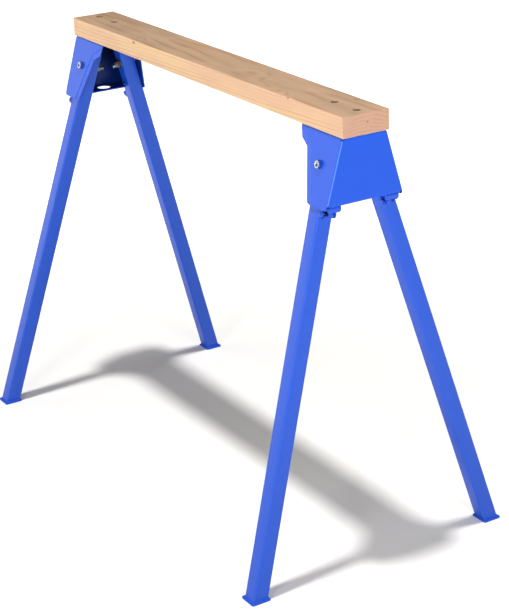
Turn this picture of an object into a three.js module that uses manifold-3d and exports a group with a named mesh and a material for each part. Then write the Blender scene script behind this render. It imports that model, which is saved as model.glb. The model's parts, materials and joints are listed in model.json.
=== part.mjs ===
// Folding sawhorse: a timber beam on two folded-steel brackets, and four square-tube legs that
// swing inwards under the beam. Each leg turns on its own bolt and carries a sprung latch whose
// tooth stands in a slot of the bracket's lip.
//
// Millimetres. +X runs along the beam to the right-hand end, +Y to the rear, +Z up.
// The origin is on the floor, under the middle of the beam.

import * as THREE from 'three';
import { mergeVertices } from 'three/addons/utils/BufferGeometryUtils.js';
import Module from 'manifold-3d';

const wasm = await Module();
wasm.setup();

// ---- Driving dimensions ---------------------------------------------------------------------

const overallHeight = 785;

const beamLength = 932;
const beamWidth = 90;
const beamThickness = 35;
const beamEdgeRadius = 1.5;

const sheet = 2; // bracket plate
const endInset = 3.5; // beam end to end plate
const bracketSideInset = 2; // beam side to flange
const endPlateHeight = 110;
const flangeOverhang = 4.9; // flange past the end plate, down the slope
const hornDepth = 115; // flange depth next to the beam
const hornLength = 21; // down the slope
const hornSetBack = 6.3; // lower corner of the horn
const hornRadius = 4;
const waistDepth = 90; // flange depth below the step
const waistRadius = 6;
const stepLength = 11;
const toeDepth = 57; // flange depth at the bottom
const toeRadius = 8;
const heelRadius = 5.6; // flange's bottom corner by the end plate
const lipDepth = 46;
const lipRadius = 4;
const lipSideGap = 1.2; // lip to flange
const hangHoleRadius = 13.5;
const hangHoleDepth = 22; // hole centre, from the end plate

const splay = THREE.MathUtils.degToRad(16.3); // legs and flanges, seen from the end
const lean = THREE.MathUtils.degToRad(5.2); // legs, seen from the side

const tube = 28.6;
const tubeWall = 1.6;
const tubeCorner = 3;
const legAbovePivot = 28;
const pivotDepth = 45; // from the end plate
const pivotDrop = 52; // down the slope from the beam
const footMargin = 3.7; // foot plate past the tube
const footThickness = 3;
const footRadius = 3;

const seatGap = 0.3; // between faces that bear on each other
const turnGap = 0.3; // between a turning piece and its neighbour
const holePlay = 0.4; // bolt to a plain hole, all round
const borePlay = 0.2; // bolt to a washer or sleeve
const threadPlay = 0.1; // bolt to its nut
const past = 1; // how far a cutting shape runs past the face it cuts
const far = 1000; // clear of the whole sawhorse

const pivotBoltRadius = 4;
const pivotHeadFlats = 13;
const pivotHeadHeight = 5.3;
const pivotNutHeight = 6;
const pivotNutCollar = 2;
const pivotCollarRadius = 5.8;
const pivotThreadOut = 6.5; // thread past the nut
const sleeveRadius = 6;
const legWasherRadius = 11.5;
const legWasherThickness = 1;
const nutWasherRadius = 10.5;
const nutWasherThickness = 1.6;

const beamBoltDepths = [22.5, 84.5]; // from the end plate
const beamBoltRadius = 3;
const beamHeadRadius = 5.6;
const beamHeadHeight = 3.4;
const beamKeyRadius = 2.2;
const beamKeyDepth = 2;
const counterborePlay = 1.4; // head to its recess
const counterboreDepth = 6.5;
const beamWasherRadius = 6.4;
const beamWasherThickness = 1.4;
const beamNutFlats = 10;
const beamNutHeight = 5;
const beamThreadOut = 3;

const latchPlate = 2.5;
const latchPinStandOff = 5.2; // pin axis to the leg's face
const latchRise = 17.55; // pin axis to the tongue, along the leg
const latchPinRadius = 2;
const latchPinHead = 3.2;
const latchPinHeadHeight = 1.2;
const latchPinPlay = 0.15;
const latchEyeRadius = 3.8;
const latchEyeWidth = 10;
const latchNeckWidth = 19;
const latchTabWidth = 25.5;
const latchTabHeight = 10.2;
const latchTabRadius = 4;
const latchTabInset = 5; // end plate's outer face to the tab
const latchTongueGap = 0.8; // lip to tongue
const toothWidth = 10;
const toothLength = 2.5;
const toothSetBack = 4.5; // tab's outer face to the tooth
const toothRoomInboard = 4;
const toothRoomOutboard = 4.8;
const toothRoomSide = 1.8;
const lugThickness = 2.4;
const lugRadius = 4;
const lugSpread = 2; // wider where it is welded on

const springWire = 1.1;
const springCoilRadius = 3;
const springTurns = 3.125;
const springPitch = 1.5;
const springUpperArm = 9;
const springLowerArm = 9;

// ---- Sizes that follow ------------------------------------------------------------------------

const undersideZ = overallHeight - beamThickness;
const endPlateX = beamLength / 2 - endInset;
const bracketTopWidth = beamWidth - 2 * bracketSideInset;
const footSize = tube + 2 * footMargin;
const flangeToLeg = legWasherThickness + 2 * turnGap;
const flangeOut = tube / 2 + flangeToLeg + sheet; // leg's middle plane to the flange's outer face
const sinSplay = Math.sin(splay);
const cosSplay = Math.cos(splay);
const sinLean = Math.sin(lean);
const cosLean = Math.cos(lean);
const flangeLength = endPlateHeight / cosSplay + flangeOverhang; // down the slope
const pivotHoleRadius = pivotBoltRadius + holePlay;
const beamHoleRadius = beamBoltRadius + holePlay;
const counterboreRadius = beamHeadRadius + counterborePlay;

const pivotX = endPlateX - pivotDepth;
const pivotY = bracketTopWidth / 2 + pivotDrop * sinSplay - flangeOut * cosSplay;
const pivotZ = undersideZ - pivotDrop * cosSplay - flangeOut * sinSplay;

const legLength = pivotZ / (cosSplay * cosLean); // pivot to floor
const footCentre = new THREE.Vector3(legLength * sinLean, legLength * cosLean * sinSplay, -pivotZ);

// The leg's own frame: origin at the pivot, x outboard, y outwards along the bolt, z up the tube.
// "Level" is the same origin with the sawhorse's axes.
const legToLevel = new THREE.Matrix4().makeRotationFromEuler(new THREE.Euler(splay, -lean, 0));
const levelToLeg = legToLevel.clone().invert();

// ---- Materials ----------------------------------------------------------------------------------

const timber = { color: 0xd9b48c, roughness: 0.7, metalness: 0 };
const bluePaint = { color: 0x2f5fe0, roughness: 0.45, metalness: 0 };
const zincPlate = { color: 0xc9ccd0, roughness: 0.3, metalness: 1 };
const springSteel = { color: 0x8d9096, roughness: 0.35, metalness: 1 };
const nylon = { color: 0xe6e4dc, roughness: 0.6, metalness: 0 };

// ---- Geometry helpers -----------------------------------------------------------------------------

const roundSides = 20;
const largeRoundSides = 32;
const smallRoundSides = 16;

function solid(geometry) {
  const bare = geometry.clone();
  bare.deleteAttribute('normal');
  bare.deleteAttribute('uv');
  const merged = mergeVertices(bare, 1e-4);
  const mesh = new wasm.Mesh({
    numProp: 3,
    vertProperties: new Float32Array(merged.attributes.position.array),
    triVerts: new Uint32Array(merged.index.array),
  });
  return new wasm.Manifold(mesh);
}

function geometryOf(manifold) {
  const mesh = manifold.getMesh();
  const indexed = new THREE.BufferGeometry();
  indexed.setAttribute('position', new THREE.BufferAttribute(new Float32Array(mesh.vertProperties), 3));
  indexed.setIndex(new THREE.BufferAttribute(new Uint32Array(mesh.triVerts), 1));
  const geometry = indexed.toNonIndexed();
  geometry.computeVertexNormals();
  return geometry;
}

const unite = (...geometries) => geometries.map(solid).reduce((sum, part) => sum.add(part));

function cut(body, ...tools) {
  return tools.map(solid).reduce((rest, tool) => rest.subtract(tool), body);
}

// A box between two corners.
function block(low, high) {
  const size = high.map((value, i) => value - low[i]);
  const middle = high.map((value, i) => (value + low[i]) / 2);
  return new THREE.BoxGeometry(...size).translate(...middle);
}

// An upright cylinder between two heights.
function rod(radius, low, high, sides = roundSides) {
  return new THREE.CylinderGeometry(radius, radius, high - low, sides)
    .rotateX(Math.PI / 2)
    .translate(0, 0, (low + high) / 2);
}

// Turns an upright shape so that its +Z end points along +Y.
const alongY = (geometry) => geometry.rotateX(-Math.PI / 2);

function extrude(shape, low, high, curveSegments = 8) {
  return new THREE.ExtrudeGeometry(shape, {
    depth: high - low,
    bevelEnabled: false,
    curveSegments,
  }).translate(0, 0, low);
}

// Extrudes an outline drawn in the XZ plane along Y.
const extrudeAlongY = (shape, low, high, segments) =>
  extrude(shape, -high, -low, segments).rotateX(Math.PI / 2);

// Extrudes an outline drawn in the YZ plane along X.
const extrudeAlongX = (shape, low, high, segments) =>
  extrude(shape, low, high, segments).rotateZ(Math.PI / 2).rotateY(Math.PI / 2);

// A closed outline whose corners are [x, y, radius]; a radius rounds its corner.
function outline(corners) {
  const shape = new THREE.Shape();
  corners.forEach(([x, y, radius = 0], i) => {
    const corner = new THREE.Vector2(x, y);
    const [before, after] = [corners.at(i - 1), corners[(i + 1) % corners.length]].map(
      ([nx, ny]) => new THREE.Vector2(nx, ny).sub(corner).setLength(radius).add(corner),
    );
    if (i === 0) shape.moveTo(before.x, before.y);
    else shape.lineTo(before.x, before.y);
    if (radius > 0) shape.quadraticCurveTo(x, y, after.x, after.y);
  });
  shape.closePath();
  return shape;
}

function rectangle(width, height, radius) {
  const [x, y] = [width / 2, height / 2];
  return outline([[-x, -y, radius], [x, -y, radius], [x, y, radius], [-x, y, radius]]);
}

function circle(radius, x = 0, y = 0) {
  return new THREE.Shape().absarc(x, y, radius, 0, 2 * Math.PI);
}

function hexagon(flats) {
  const reach = flats / Math.sqrt(3);
  const corners = [0, 1, 2, 3, 4, 5].map((i) => (i * Math.PI) / 3);
  return outline(corners.map((angle) => [reach * Math.cos(angle), reach * Math.sin(angle)]));
}

// A flat ring between two heights.
function ring(radius, holeRadius, low, high) {
  const shape = circle(radius);
  shape.holes.push(circle(holeRadius));
  return extrude(shape, low, high, roundSides / 2);
}

// The same piece for another corner: end is 1 at the right and -1 at the left, side is 1 at the
// rear and -1 at the front. A single mirror turns the faces inside out, so they are turned back.
function handed(geometry, end, side) {
  const copy = geometry.index ? geometry.toNonIndexed() : geometry.clone();
  copy.scale(end, side, 1);
  if (end * side < 0) {
    const { array } = copy.attributes.position;
    for (let i = 0; i < array.length; i += 9) {
      const second = array.slice(i + 3, i + 6);
      array.copyWithin(i + 3, i + 6, i + 9);
      array.set(second, i + 6);
    }
  }
  copy.computeVertexNormals();
  return copy;
}

function piece(name, geometry, look) {
  const mesh = new THREE.Mesh(geometry, new THREE.MeshStandardMaterial(look));
  mesh.name = name;
  return mesh;
}

// ---- Beam and its bolts -----------------------------------------------------------------------------

const beamBoltPlaces = [-1, 1].flatMap((end) => beamBoltDepths.map((depth) => end * (endPlateX - depth)));
const beamHeadSeat = overallHeight - counterboreDepth;

function beamGeometry() {
  const section = rectangle(beamWidth, beamThickness, beamEdgeRadius);
  const bar = extrudeAlongX(section, -beamLength / 2, beamLength / 2, 3);
  const holes = beamBoltPlaces.flatMap((x) => [
    rod(counterboreRadius, beamHeadSeat, overallHeight + past).translate(x, 0, 0),
    rod(beamHoleRadius, undersideZ - past, beamHeadSeat + past).translate(x, 0, 0),
  ]);
  bar.translate(0, 0, undersideZ + beamThickness / 2);
  return geometryOf(cut(solid(bar), ...holes));
}

const beamWasherTop = undersideZ - sheet - seatGap;
const beamNutTop = beamWasherTop - beamWasherThickness - seatGap;
const beamNutBottom = beamNutTop - beamNutHeight;

function beamBoltGeometry() {
  const headLow = beamHeadSeat + seatGap;
  const headHigh = headLow + beamHeadHeight;
  const body = unite(
    rod(beamBoltRadius, beamNutBottom - beamThreadOut, headHigh - beamKeyDepth),
    rod(beamHeadRadius, headLow, headHigh),
  );
  return geometryOf(cut(body, rod(beamKeyRadius, headHigh - beamKeyDepth, headHigh + past, 6)));
}

const beamWasherGeometry = () =>
  ring(beamWasherRadius, beamHoleRadius, beamWasherTop - beamWasherThickness, beamWasherTop);

function beamNutGeometry() {
  const shape = hexagon(beamNutFlats);
  shape.holes.push(circle(beamBoltRadius + threadPlay));
  return extrude(shape, beamNutBottom, beamNutTop, roundSides / 2);
}

// ---- Bracket ------------------------------------------------------------------------------------------
// Built for the right-hand end, in its own frame: origin under the beam, in the end plate's outer
// face, with x outboard, so that a depth into the bracket is a negative x.

const lipTop = -endPlateHeight + sheet;
const legHalf = tube / 2;
const pivotLevel = pivotZ - undersideZ;

// Where the leg's outboard face passes, at a distance to the rear and a height.
function legFaceAt(y, z) {
  const along = (y - pivotY) * sinSplay - (z - pivotLevel) * cosSplay;
  return (legHalf + along * sinLean) / cosLean - pivotDepth;
}

// Where the leg's middle plane passes, at a height.
const legMiddleAt = (z) => pivotY + (pivotLevel - z) * Math.tan(splay);

// Half the width between the flanges' outer faces, or their inner faces, at a height.
const outerHalf = (z) => bracketTopWidth / 2 - z * Math.tan(splay);
const innerHalf = (z) => outerHalf(z) - sheet / cosSplay;

function trapezium(half, top, bottom) {
  return outline([
    [-half(top), top], [-half(bottom), bottom], [half(bottom), bottom], [half(top), top],
  ]);
}

// The flange's side view. Heights are lengths down the slope, seen square from the front.
function flangeOutline() {
  const down = (length) => -length * cosSplay;
  return outline([
    [0, past],
    [0, -endPlateHeight],
    [-sheet, -endPlateHeight],
    [-sheet, down(flangeLength), heelRadius],
    [-toeDepth, down(flangeLength), toeRadius],
    [-waistDepth, down(hornLength + stepLength), waistRadius],
    [hornSetBack - hornDepth, down(hornLength), hornRadius],
    [-hornDepth, 0],
    [-hornDepth, past],
  ]);
}

// The lip runs between the legs, and its sides reach only as far as the legs' outboard faces,
// which rest on them when the sawhorse stands.
function lipGeometry() {
  const bottom = lipTop - sheet;
  const middle = legMiddleAt(lipTop) - legHalf / cosSplay - lipSideGap;
  const wide = innerHalf(lipTop) - lipSideGap;
  const stop = -(legFaceAt(wide, bottom) + seatGap);
  const shape = outline([
    [-sheet / 2, -wide], [-stop, -wide], [-stop, -middle, lipRadius], [-lipDepth, -middle, lipRadius],
    [-lipDepth, middle, lipRadius], [-stop, middle, lipRadius], [-stop, wide], [-sheet / 2, wide],
  ]);
  return extrude(shape, bottom, lipTop, 4);
}

const toothOutboard = -latchTabInset - toothSetBack;
const tongueTop = lipTop - sheet - latchTongueGap;

function latchSlot(side) {
  const middle = side * legMiddleAt(lipTop);
  const half = toothWidth / 2 + toothRoomSide;
  return block(
    [toothOutboard - toothLength - toothRoomInboard, middle - half, lipTop - sheet - past],
    [toothOutboard + toothRoomOutboard, middle + half, lipTop + past],
  );
}

function bracketGeometry() {
  const low = -flangeLength;
  const outer = extrudeAlongX(trapezium(outerHalf, 0, low), -hornDepth, 0);
  const inner = extrudeAlongX(trapezium(innerHalf, -sheet, low - past), -hornDepth - past, -sheet);
  const reach = outerHalf(low) + past;
  const sideView = solid(extrudeAlongY(flangeOutline(), -reach, reach, 5));
  const folded = cut(solid(outer), inner).intersect(sideView).add(solid(lipGeometry()));
  const pivotHole = alongY(rod(pivotHoleRadius, 0, 2 * flangeOut)).rotateX(splay);
  pivotHole.translate(-pivotDepth, pivotY, pivotLevel);
  const pivotHoles = [-1, 1].map((side) => handed(pivotHole, 1, side));
  const boltHole = rod(beamHoleRadius, -sheet - past, past);
  const boltHoles = beamBoltDepths.map((depth) => boltHole.clone().translate(-depth, 0, 0));
  const hangHole = rod(hangHoleRadius, lipTop - sheet - past, lipTop + past, largeRoundSides);
  hangHole.translate(-hangHoleDepth, 0, 0);
  return geometryOf(cut(folded, ...pivotHoles, ...boltHoles, hangHole, latchSlot(-1), latchSlot(1)));
}

// ---- Leg ------------------------------------------------------------------------------------------------
// In the leg's own frame, for the rear right-hand corner.

const latchPinX = legHalf + latchPinStandOff;
const latchPinZ = (tongueTop - pivotLevel) / (cosSplay * cosLean) - latchRise;
const lugInner = legHalf - lugThickness;

const latchPinHole = () =>
  alongY(rod(latchPinRadius + latchPinPlay, -tube, tube)).translate(latchPinX, 0, latchPinZ);

function lugGeometry(side) {
  const shape = outline([
    [legHalf - tubeWall / 2, latchPinZ - lugRadius - lugSpread],
    [latchPinX + lugRadius, latchPinZ - lugRadius, lugRadius],
    [latchPinX + lugRadius, latchPinZ + lugRadius, lugRadius],
    [legHalf - tubeWall / 2, latchPinZ + lugRadius + lugSpread],
  ]);
  const [low, high] = side > 0 ? [lugInner, legHalf] : [-legHalf, -lugInner];
  return extrudeAlongY(shape, low, high, 5);
}

function legGeometry() {
  const section = rectangle(tube, tube, tubeCorner);
  const bore = tube - 2 * tubeWall;
  section.holes.push(rectangle(bore, bore, tubeCorner - tubeWall));
  const stock = extrude(section, -legLength - footSize, legAbovePivot, 3);
  const floorCut = block([-far, -far, -far - pivotZ], [far, far, footThickness + seatGap - pivotZ]);
  const sleeveHole = alongY(rod(sleeveRadius + turnGap, -tube, tube));
  const pinHole = latchPinHole();
  const welded = unite(stock, lugGeometry(-1), lugGeometry(1));
  return geometryOf(cut(welded, floorCut.applyMatrix4(levelToLeg), sleeveHole, pinHole));
}

const footGeometry = () => extrude(rectangle(footSize, footSize, footRadius), 0, footThickness, 3);

// ---- Pivot ------------------------------------------------------------------------------------------------
// Along +Y of the flange's frame, with y measured from the leg's middle plane.

const sleeveOut = flangeOut - sheet - seatGap;
const sleeveIn = -legHalf - turnGap;
const nutWasherOut = sleeveIn - seatGap;
const pivotNutOut = nutWasherOut - nutWasherThickness - seatGap;
const pivotNutIn = pivotNutOut - pivotNutHeight - pivotNutCollar;

function pivotBoltGeometry() {
  const headLow = flangeOut + seatGap;
  return geometryOf(unite(
    alongY(rod(pivotBoltRadius, pivotNutIn - pivotThreadOut, headLow + pivotHeadHeight / 2)),
    alongY(extrude(hexagon(pivotHeadFlats), headLow, headLow + pivotHeadHeight)),
  ));
}

function pivotNutGeometry() {
  const hexLow = pivotNutIn + pivotNutCollar;
  const body = unite(
    alongY(extrude(hexagon(pivotHeadFlats), hexLow, pivotNutOut)),
    alongY(rod(pivotCollarRadius, pivotNutIn, hexLow + pivotNutHeight / 2)),
  );
  const bore = rod(pivotBoltRadius + threadPlay, pivotNutIn - past, pivotNutOut + past);
  return geometryOf(cut(body, alongY(bore)));
}

const sleeveGeometry = () =>
  alongY(ring(sleeveRadius, pivotBoltRadius + borePlay, sleeveIn, sleeveOut));

function legWasherGeometry() {
  const low = legHalf + turnGap;
  return alongY(ring(legWasherRadius, sleeveRadius + turnGap, low, low + legWasherThickness));
}

function nutWasherGeometry() {
  const bore = pivotBoltRadius + borePlay;
  return alongY(ring(nutWasherRadius, bore, nutWasherOut - nutWasherThickness, nutWasherOut));
}

// ---- Latch ------------------------------------------------------------------------------------------------
// The eye and neck follow the leg; the tongue, finger tab and tooth lie level with the lip.

const latchEyeLow = -latchNeckWidth / 2;
const latchNeckX = latchPinX + springCoilRadius - springWire / 2 - turnGap - latchPlate / 2;

// Level-frame x of a line that runs down the leg at a leg-frame x, where it passes a height.
function levelX(x, height) {
  const along = (height / cosSplay - x * sinLean) / cosLean;
  return x * cosLean - along * sinLean;
}

function latchGeometry() {
  // heights from the pivot, in the level frame
  const top = tongueTop - pivotLevel;
  const bottom = top - latchPlate;
  const tabFace = pivotDepth - latchTabInset;
  const middle = legMiddleAt(tongueTop) - pivotY;

  const eye = circle(latchEyeRadius, latchPinX, latchPinZ);
  const neckFoot = latchPinZ + springCoilRadius + springWire;
  const neckLeft = latchNeckX - latchPlate / 2;
  const neckRight = latchNeckX + latchPlate / 2;
  const shank = outline([
    [latchPinX - latchPlate / 2, latchPinZ], [neckRight, latchPinZ],
    [neckRight, neckFoot + latchPlate], [neckLeft, neckFoot + latchPlate],
  ]);
  const neck = block([neckLeft, -latchNeckWidth / 2, neckFoot], [neckRight, latchNeckWidth / 2, 0]);
  const aboveTongue = block([-far, -far, top - latchPlate / 2], [far, far, far]);
  const follower = unite(
    extrudeAlongY(eye, latchEyeLow, latchEyeLow + latchEyeWidth, 8),
    extrudeAlongY(shank, latchEyeLow, latchEyeLow + latchEyeWidth),
    neck,
  );
  const hinged = cut(follower, aboveTongue.applyMatrix4(levelToLeg), latchPinHole());

  const half = latchTabWidth / 2;
  const tongue = block([levelX(neckLeft, top), middle - half, bottom], [tabFace, middle + half, top]);
  const tabLow = top - latchTabHeight;
  const tabShape = outline([
    [middle - half, tabLow, latchTabRadius], [middle + half, tabLow, latchTabRadius],
    [middle + half, top], [middle - half, top],
  ]);
  const tab = extrudeAlongX(tabShape, tabFace - latchPlate, tabFace, 5);
  const toothEdge = tabFace - toothSetBack;
  const tooth = block(
    [toothEdge - toothLength, middle - toothWidth / 2, bottom + latchPlate / 2],
    [toothEdge, middle + toothWidth / 2, lipTop - pivotLevel],
  );
  return geometryOf(unite(geometryOf(hinged).applyMatrix4(legToLevel), tongue, tab, tooth));
}

// A shank with a formed head at each end.
function latchPinGeometry() {
  const seat = legHalf + seatGap;
  const end = seat + latchPinHeadHeight;
  const pin = unite(
    rod(latchPinRadius, -seat - latchPinHeadHeight / 2, seat + latchPinHeadHeight / 2, smallRoundSides),
    rod(latchPinHead, seat, end, smallRoundSides),
    rod(latchPinHead, -end, -seat, smallRoundSides),
  );
  return alongY(geometryOf(pin)).translate(latchPinX, 0, latchPinZ);
}

// Wire of the torsion spring: down the back of the neck, round the pin, then down to the leg.
class SpringPath extends THREE.Curve {
  getPoint(t, target = new THREE.Vector3()) {
    const turn = 2 * Math.PI * springTurns;
    const coil = turn * springCoilRadius;
    const total = springUpperArm + coil + springLowerArm;
    const run = t * total;
    const coilStart = latchEyeLow + latchEyeWidth + springWire;
    const angle = -THREE.MathUtils.clamp((run - springUpperArm) / springCoilRadius, 0, turn);
    const above = Math.max(springUpperArm - run, 0);
    const beyond = Math.max(run - springUpperArm - coil, 0);
    return target.set(
      latchPinX + springCoilRadius * Math.cos(angle) + beyond * Math.sin(angle),
      coilStart - (angle / turn) * springTurns * springPitch,
      latchPinZ + springCoilRadius * Math.sin(angle) + above - beyond * Math.cos(angle),
    );
  }
}

function latchSpringGeometry() {
  const wire = circle(springWire / 2);
  return new THREE.ExtrudeGeometry(wire, { steps: 44, curveSegments: 3, extrudePath: new SpringPath() });
}

// ---- Assembly ---------------------------------------------------------------------------------------

const sawhorse = new THREE.Group();
sawhorse.add(piece('top_beam', beamGeometry(), timber));

beamBoltPlaces.forEach((x, i) => {
  const label = `${x < 0 ? 'left' : 'right'}_${i % 2 ? 'inner' : 'outer'}`;
  const bolt = new THREE.Group();
  bolt.position.set(x, 0, 0);
  bolt.add(
    piece(`beam_bolt_${label}`, beamBoltGeometry(), zincPlate),
    piece(`beam_washer_${label}`, beamWasherGeometry(), zincPlate),
    piece(`beam_nut_${label}`, beamNutGeometry(), zincPlate),
  );
  sawhorse.add(bolt);
});

for (const end of [-1, 1]) {
  const endName = end < 0 ? 'left' : 'right';
  const bracket = piece(`bracket_${endName}`, bracketGeometry(), bluePaint);
  bracket.position.set(end * endPlateX, 0, undersideZ);
  bracket.rotation.z = end < 0 ? Math.PI : 0;
  sawhorse.add(bracket);

  for (const side of [-1, 1]) {
    const corner = `${side < 0 ? 'front' : 'rear'}_${endName}`;
    const add = (group, name, geometry, look) =>
      group.add(piece(`${name}_${corner}`, handed(geometry, end, side), look));

    const level = new THREE.Group();
    level.position.set(end * pivotX, side * pivotY, pivotZ);
    const flange = new THREE.Group();
    flange.rotation.x = side * splay;
    const leg = new THREE.Group();
    leg.rotation.y = -end * lean;

    add(flange, 'pivot_bolt', pivotBoltGeometry(), zincPlate);
    add(flange, 'pivot_nut', pivotNutGeometry(), zincPlate);
    add(flange, 'pivot_sleeve', sleeveGeometry(), zincPlate);
    add(flange, 'leg_washer', legWasherGeometry(), nylon);
    add(flange, 'nut_washer', nutWasherGeometry(), zincPlate);
    add(leg, 'leg', legGeometry(), bluePaint);
    add(leg, 'latch_pin', latchPinGeometry(), zincPlate);
    add(leg, 'latch_spring', latchSpringGeometry(), springSteel);
    add(level, 'latch', latchGeometry(), bluePaint);
    add(level, 'foot_plate', footGeometry().translate(...footCentre), bluePaint);

    flange.add(leg);
    level.add(flange);
    sawhorse.add(level);
  }
}

export default sawhorse;
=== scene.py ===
# %% [markdown]
# # A folding sawhorse
# One pine beam lies flat on two brackets that are cut and folded from blue powder-coated sheet.
# Each bracket carries two square-tube legs on bolts, and each leg has a sprung latch.
# The measured model comes in first as a fixed frame. Every surface that shows is then drawn again
# with numpy, finer than the frame has it, and rides on the frame's moving bodies.

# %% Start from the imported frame
import json
import math

import bmesh
import bpy
import numpy as np
from mathutils import Matrix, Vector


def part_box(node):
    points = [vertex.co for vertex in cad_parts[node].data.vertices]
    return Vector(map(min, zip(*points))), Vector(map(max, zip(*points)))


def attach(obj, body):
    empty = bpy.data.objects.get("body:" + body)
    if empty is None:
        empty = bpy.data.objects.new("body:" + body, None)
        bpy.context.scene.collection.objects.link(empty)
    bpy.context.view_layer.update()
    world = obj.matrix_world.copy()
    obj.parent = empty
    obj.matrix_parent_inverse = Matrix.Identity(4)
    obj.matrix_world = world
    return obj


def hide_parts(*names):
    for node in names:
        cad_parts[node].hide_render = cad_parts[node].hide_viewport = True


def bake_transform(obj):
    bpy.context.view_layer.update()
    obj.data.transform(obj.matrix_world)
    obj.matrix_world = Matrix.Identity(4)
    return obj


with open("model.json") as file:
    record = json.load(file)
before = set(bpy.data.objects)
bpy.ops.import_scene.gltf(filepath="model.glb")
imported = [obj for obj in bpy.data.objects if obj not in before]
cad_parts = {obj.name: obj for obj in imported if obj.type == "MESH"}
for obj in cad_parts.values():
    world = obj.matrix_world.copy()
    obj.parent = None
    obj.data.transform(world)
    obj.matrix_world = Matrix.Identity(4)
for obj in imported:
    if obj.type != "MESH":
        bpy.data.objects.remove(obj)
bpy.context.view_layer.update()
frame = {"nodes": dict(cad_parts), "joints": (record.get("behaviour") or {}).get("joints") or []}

# %% [markdown]
# ## Grids of points
# A surface here is a pair: an array of points in millimetres, and an array of four-sided faces.
# Most shapes are one grid of points worked out as a whole array, because a formula on a grid is
# easy to change and never misses a face. Triangles are grids too: one row shrinks to a point, and
# welding closes it.

# %% Faces over a grid
def stacked(*coordinates):
    """Points from coordinates that are each a number, a row or a grid."""
    return np.stack(np.broadcast_arrays(*coordinates), -1)


def grid_faces(rows, columns, around=False, closed=False):
    """Four corners for each cell: (i, j), (i, j+1), (i+1, j+1), (i+1, j).

    With around the last column meets the first, and with closed the last row meets the first.
    A face looks along (next column) x (next row).
    """
    i, j = np.meshgrid(
        np.arange(rows if closed else rows - 1),
        np.arange(columns if around else columns - 1),
        indexing="ij",
    )
    below, beside = (i + 1) % rows, (j + 1) % columns
    corners = (i, j), (i, beside), (below, beside), (below, j)
    return stacked(*(a * columns + b for a, b in corners)).reshape(-1, 4)


def sheet(points, keep=None, around=False, closed=False):
    """A grid of points as a surface, without the cells where keep is False."""
    rows, columns = points.shape[:2]
    faces = grid_faces(rows, columns, around, closed)
    if keep is not None:
        faces = faces[keep.ravel()]
    return points.reshape(-1, 3), faces


def every_cell(points):
    """True for each cell of a grid, to be made False where a cell is left out."""
    return np.ones((points.shape[0] - 1, points.shape[1] - 1), bool)


def joined(*surfaces):
    """Several surfaces as one: each one's face numbers start after the points before it."""
    starts = np.cumsum([0] + [len(points) for points, _ in surfaces[:-1]])
    points = np.concatenate([points for points, _ in surfaces])
    faces = np.concatenate([faces + start for (_, faces), start in zip(surfaces, starts)])
    used, faces = np.unique(faces, return_inverse=True)
    return points[used], faces.reshape(-1, 4)


print("a 3 by 4 grid has", len(grid_faces(3, 4)), "faces,", len(grid_faces(3, 4, True)), "if round")

# %% Which way faces look
def over(surface):
    """The surface turned over: each face's corners run the other way round."""
    points, faces = surface
    return points, faces[:, ::-1]


def facing(direction, surface):
    """The surface, turned over if its faces look away from the direction on the whole."""
    a, b, c, d = surface[0][surface[1]].transpose(1, 0, 2)
    return surface if np.cross(c - a, d - b).sum(0) @ direction >= 0 else over(surface)


def facing_out(surface):
    """A closed surface, turned over if the volume it holds, summed over its faces, is negative."""
    a, b, c, d = surface[0][surface[1]].transpose(1, 0, 2)
    return surface if (np.cross(c - a, d - b) * (a + c)).sum() > 0 else over(surface)


def mirrored(surface):
    """The surface seen in a mirror on the plane y = 0, with its faces turned back outwards."""
    points, faces = over(surface)
    return points * (1, -1, 1), faces


print("a point at y = 1, mirrored:", mirrored((np.ones((1, 3)), grid_faces(2, 2)))[0][0])

# %% [markdown]
# ## Shapes that repeat
# Fasteners are turned shapes, plates are outlines with a thickness, and tubes, wire and weld
# beads are a section carried along a path. One function serves each kind.

# %% Turned shapes
def polar(r, angle, height):
    """Points at a radius, an angle and a height: (r cos a, r sin a, h)."""
    return stacked(r * np.cos(angle), r * np.sin(angle), height)


def turned(profile, sides=48, closed=False):
    """Each profile row is (radius, height, hexagon, cone), and it is turned about the z axis.

    Where hexagon is 1, the radius follows a hexagon whose corners are radius away, which is
    radius cos 30 / cos(a mod 60 - 30). Where it is 0, it is the radius itself. The height falls
    by cone times the distance past the hexagon's flats, as a chamfer does.
    """
    rows = np.array([(*row, 0, 0)[:4] for row in profile], float)
    radius, height, hexagon, cone = rows.T[:, :, None]
    angle = np.arange(sides) * 2 * np.pi / sides
    flats = np.cos(np.pi / 6)
    six = flats / np.cos(angle % (np.pi / 3) - np.pi / 6)
    r = radius * (1 + hexagon * (six - 1))
    points = polar(r, angle, height - cone * (r - radius * flats))
    return sheet(points, around=True, closed=closed)


def ring(outer, inner, low, high, ease=0.15):
    """A washer or sleeve: a rectangle with four eased corners, turned about the z axis."""
    return turned([
        (inner, low + ease), (inner + ease, low), (outer - ease, low), (outer, low + ease),
        (outer, high - ease), (outer - ease, high), (inner + ease, high), (inner, high - ease),
    ], closed=True)


print("a turned ring has", len(ring(10, 5, 0, 1)[1]), "faces")

# %% Plates with rounded corners
def unit(vectors):
    """Each vector divided by its own length."""
    return vectors / np.linalg.norm(vectors, axis=-1, keepdims=True)


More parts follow.
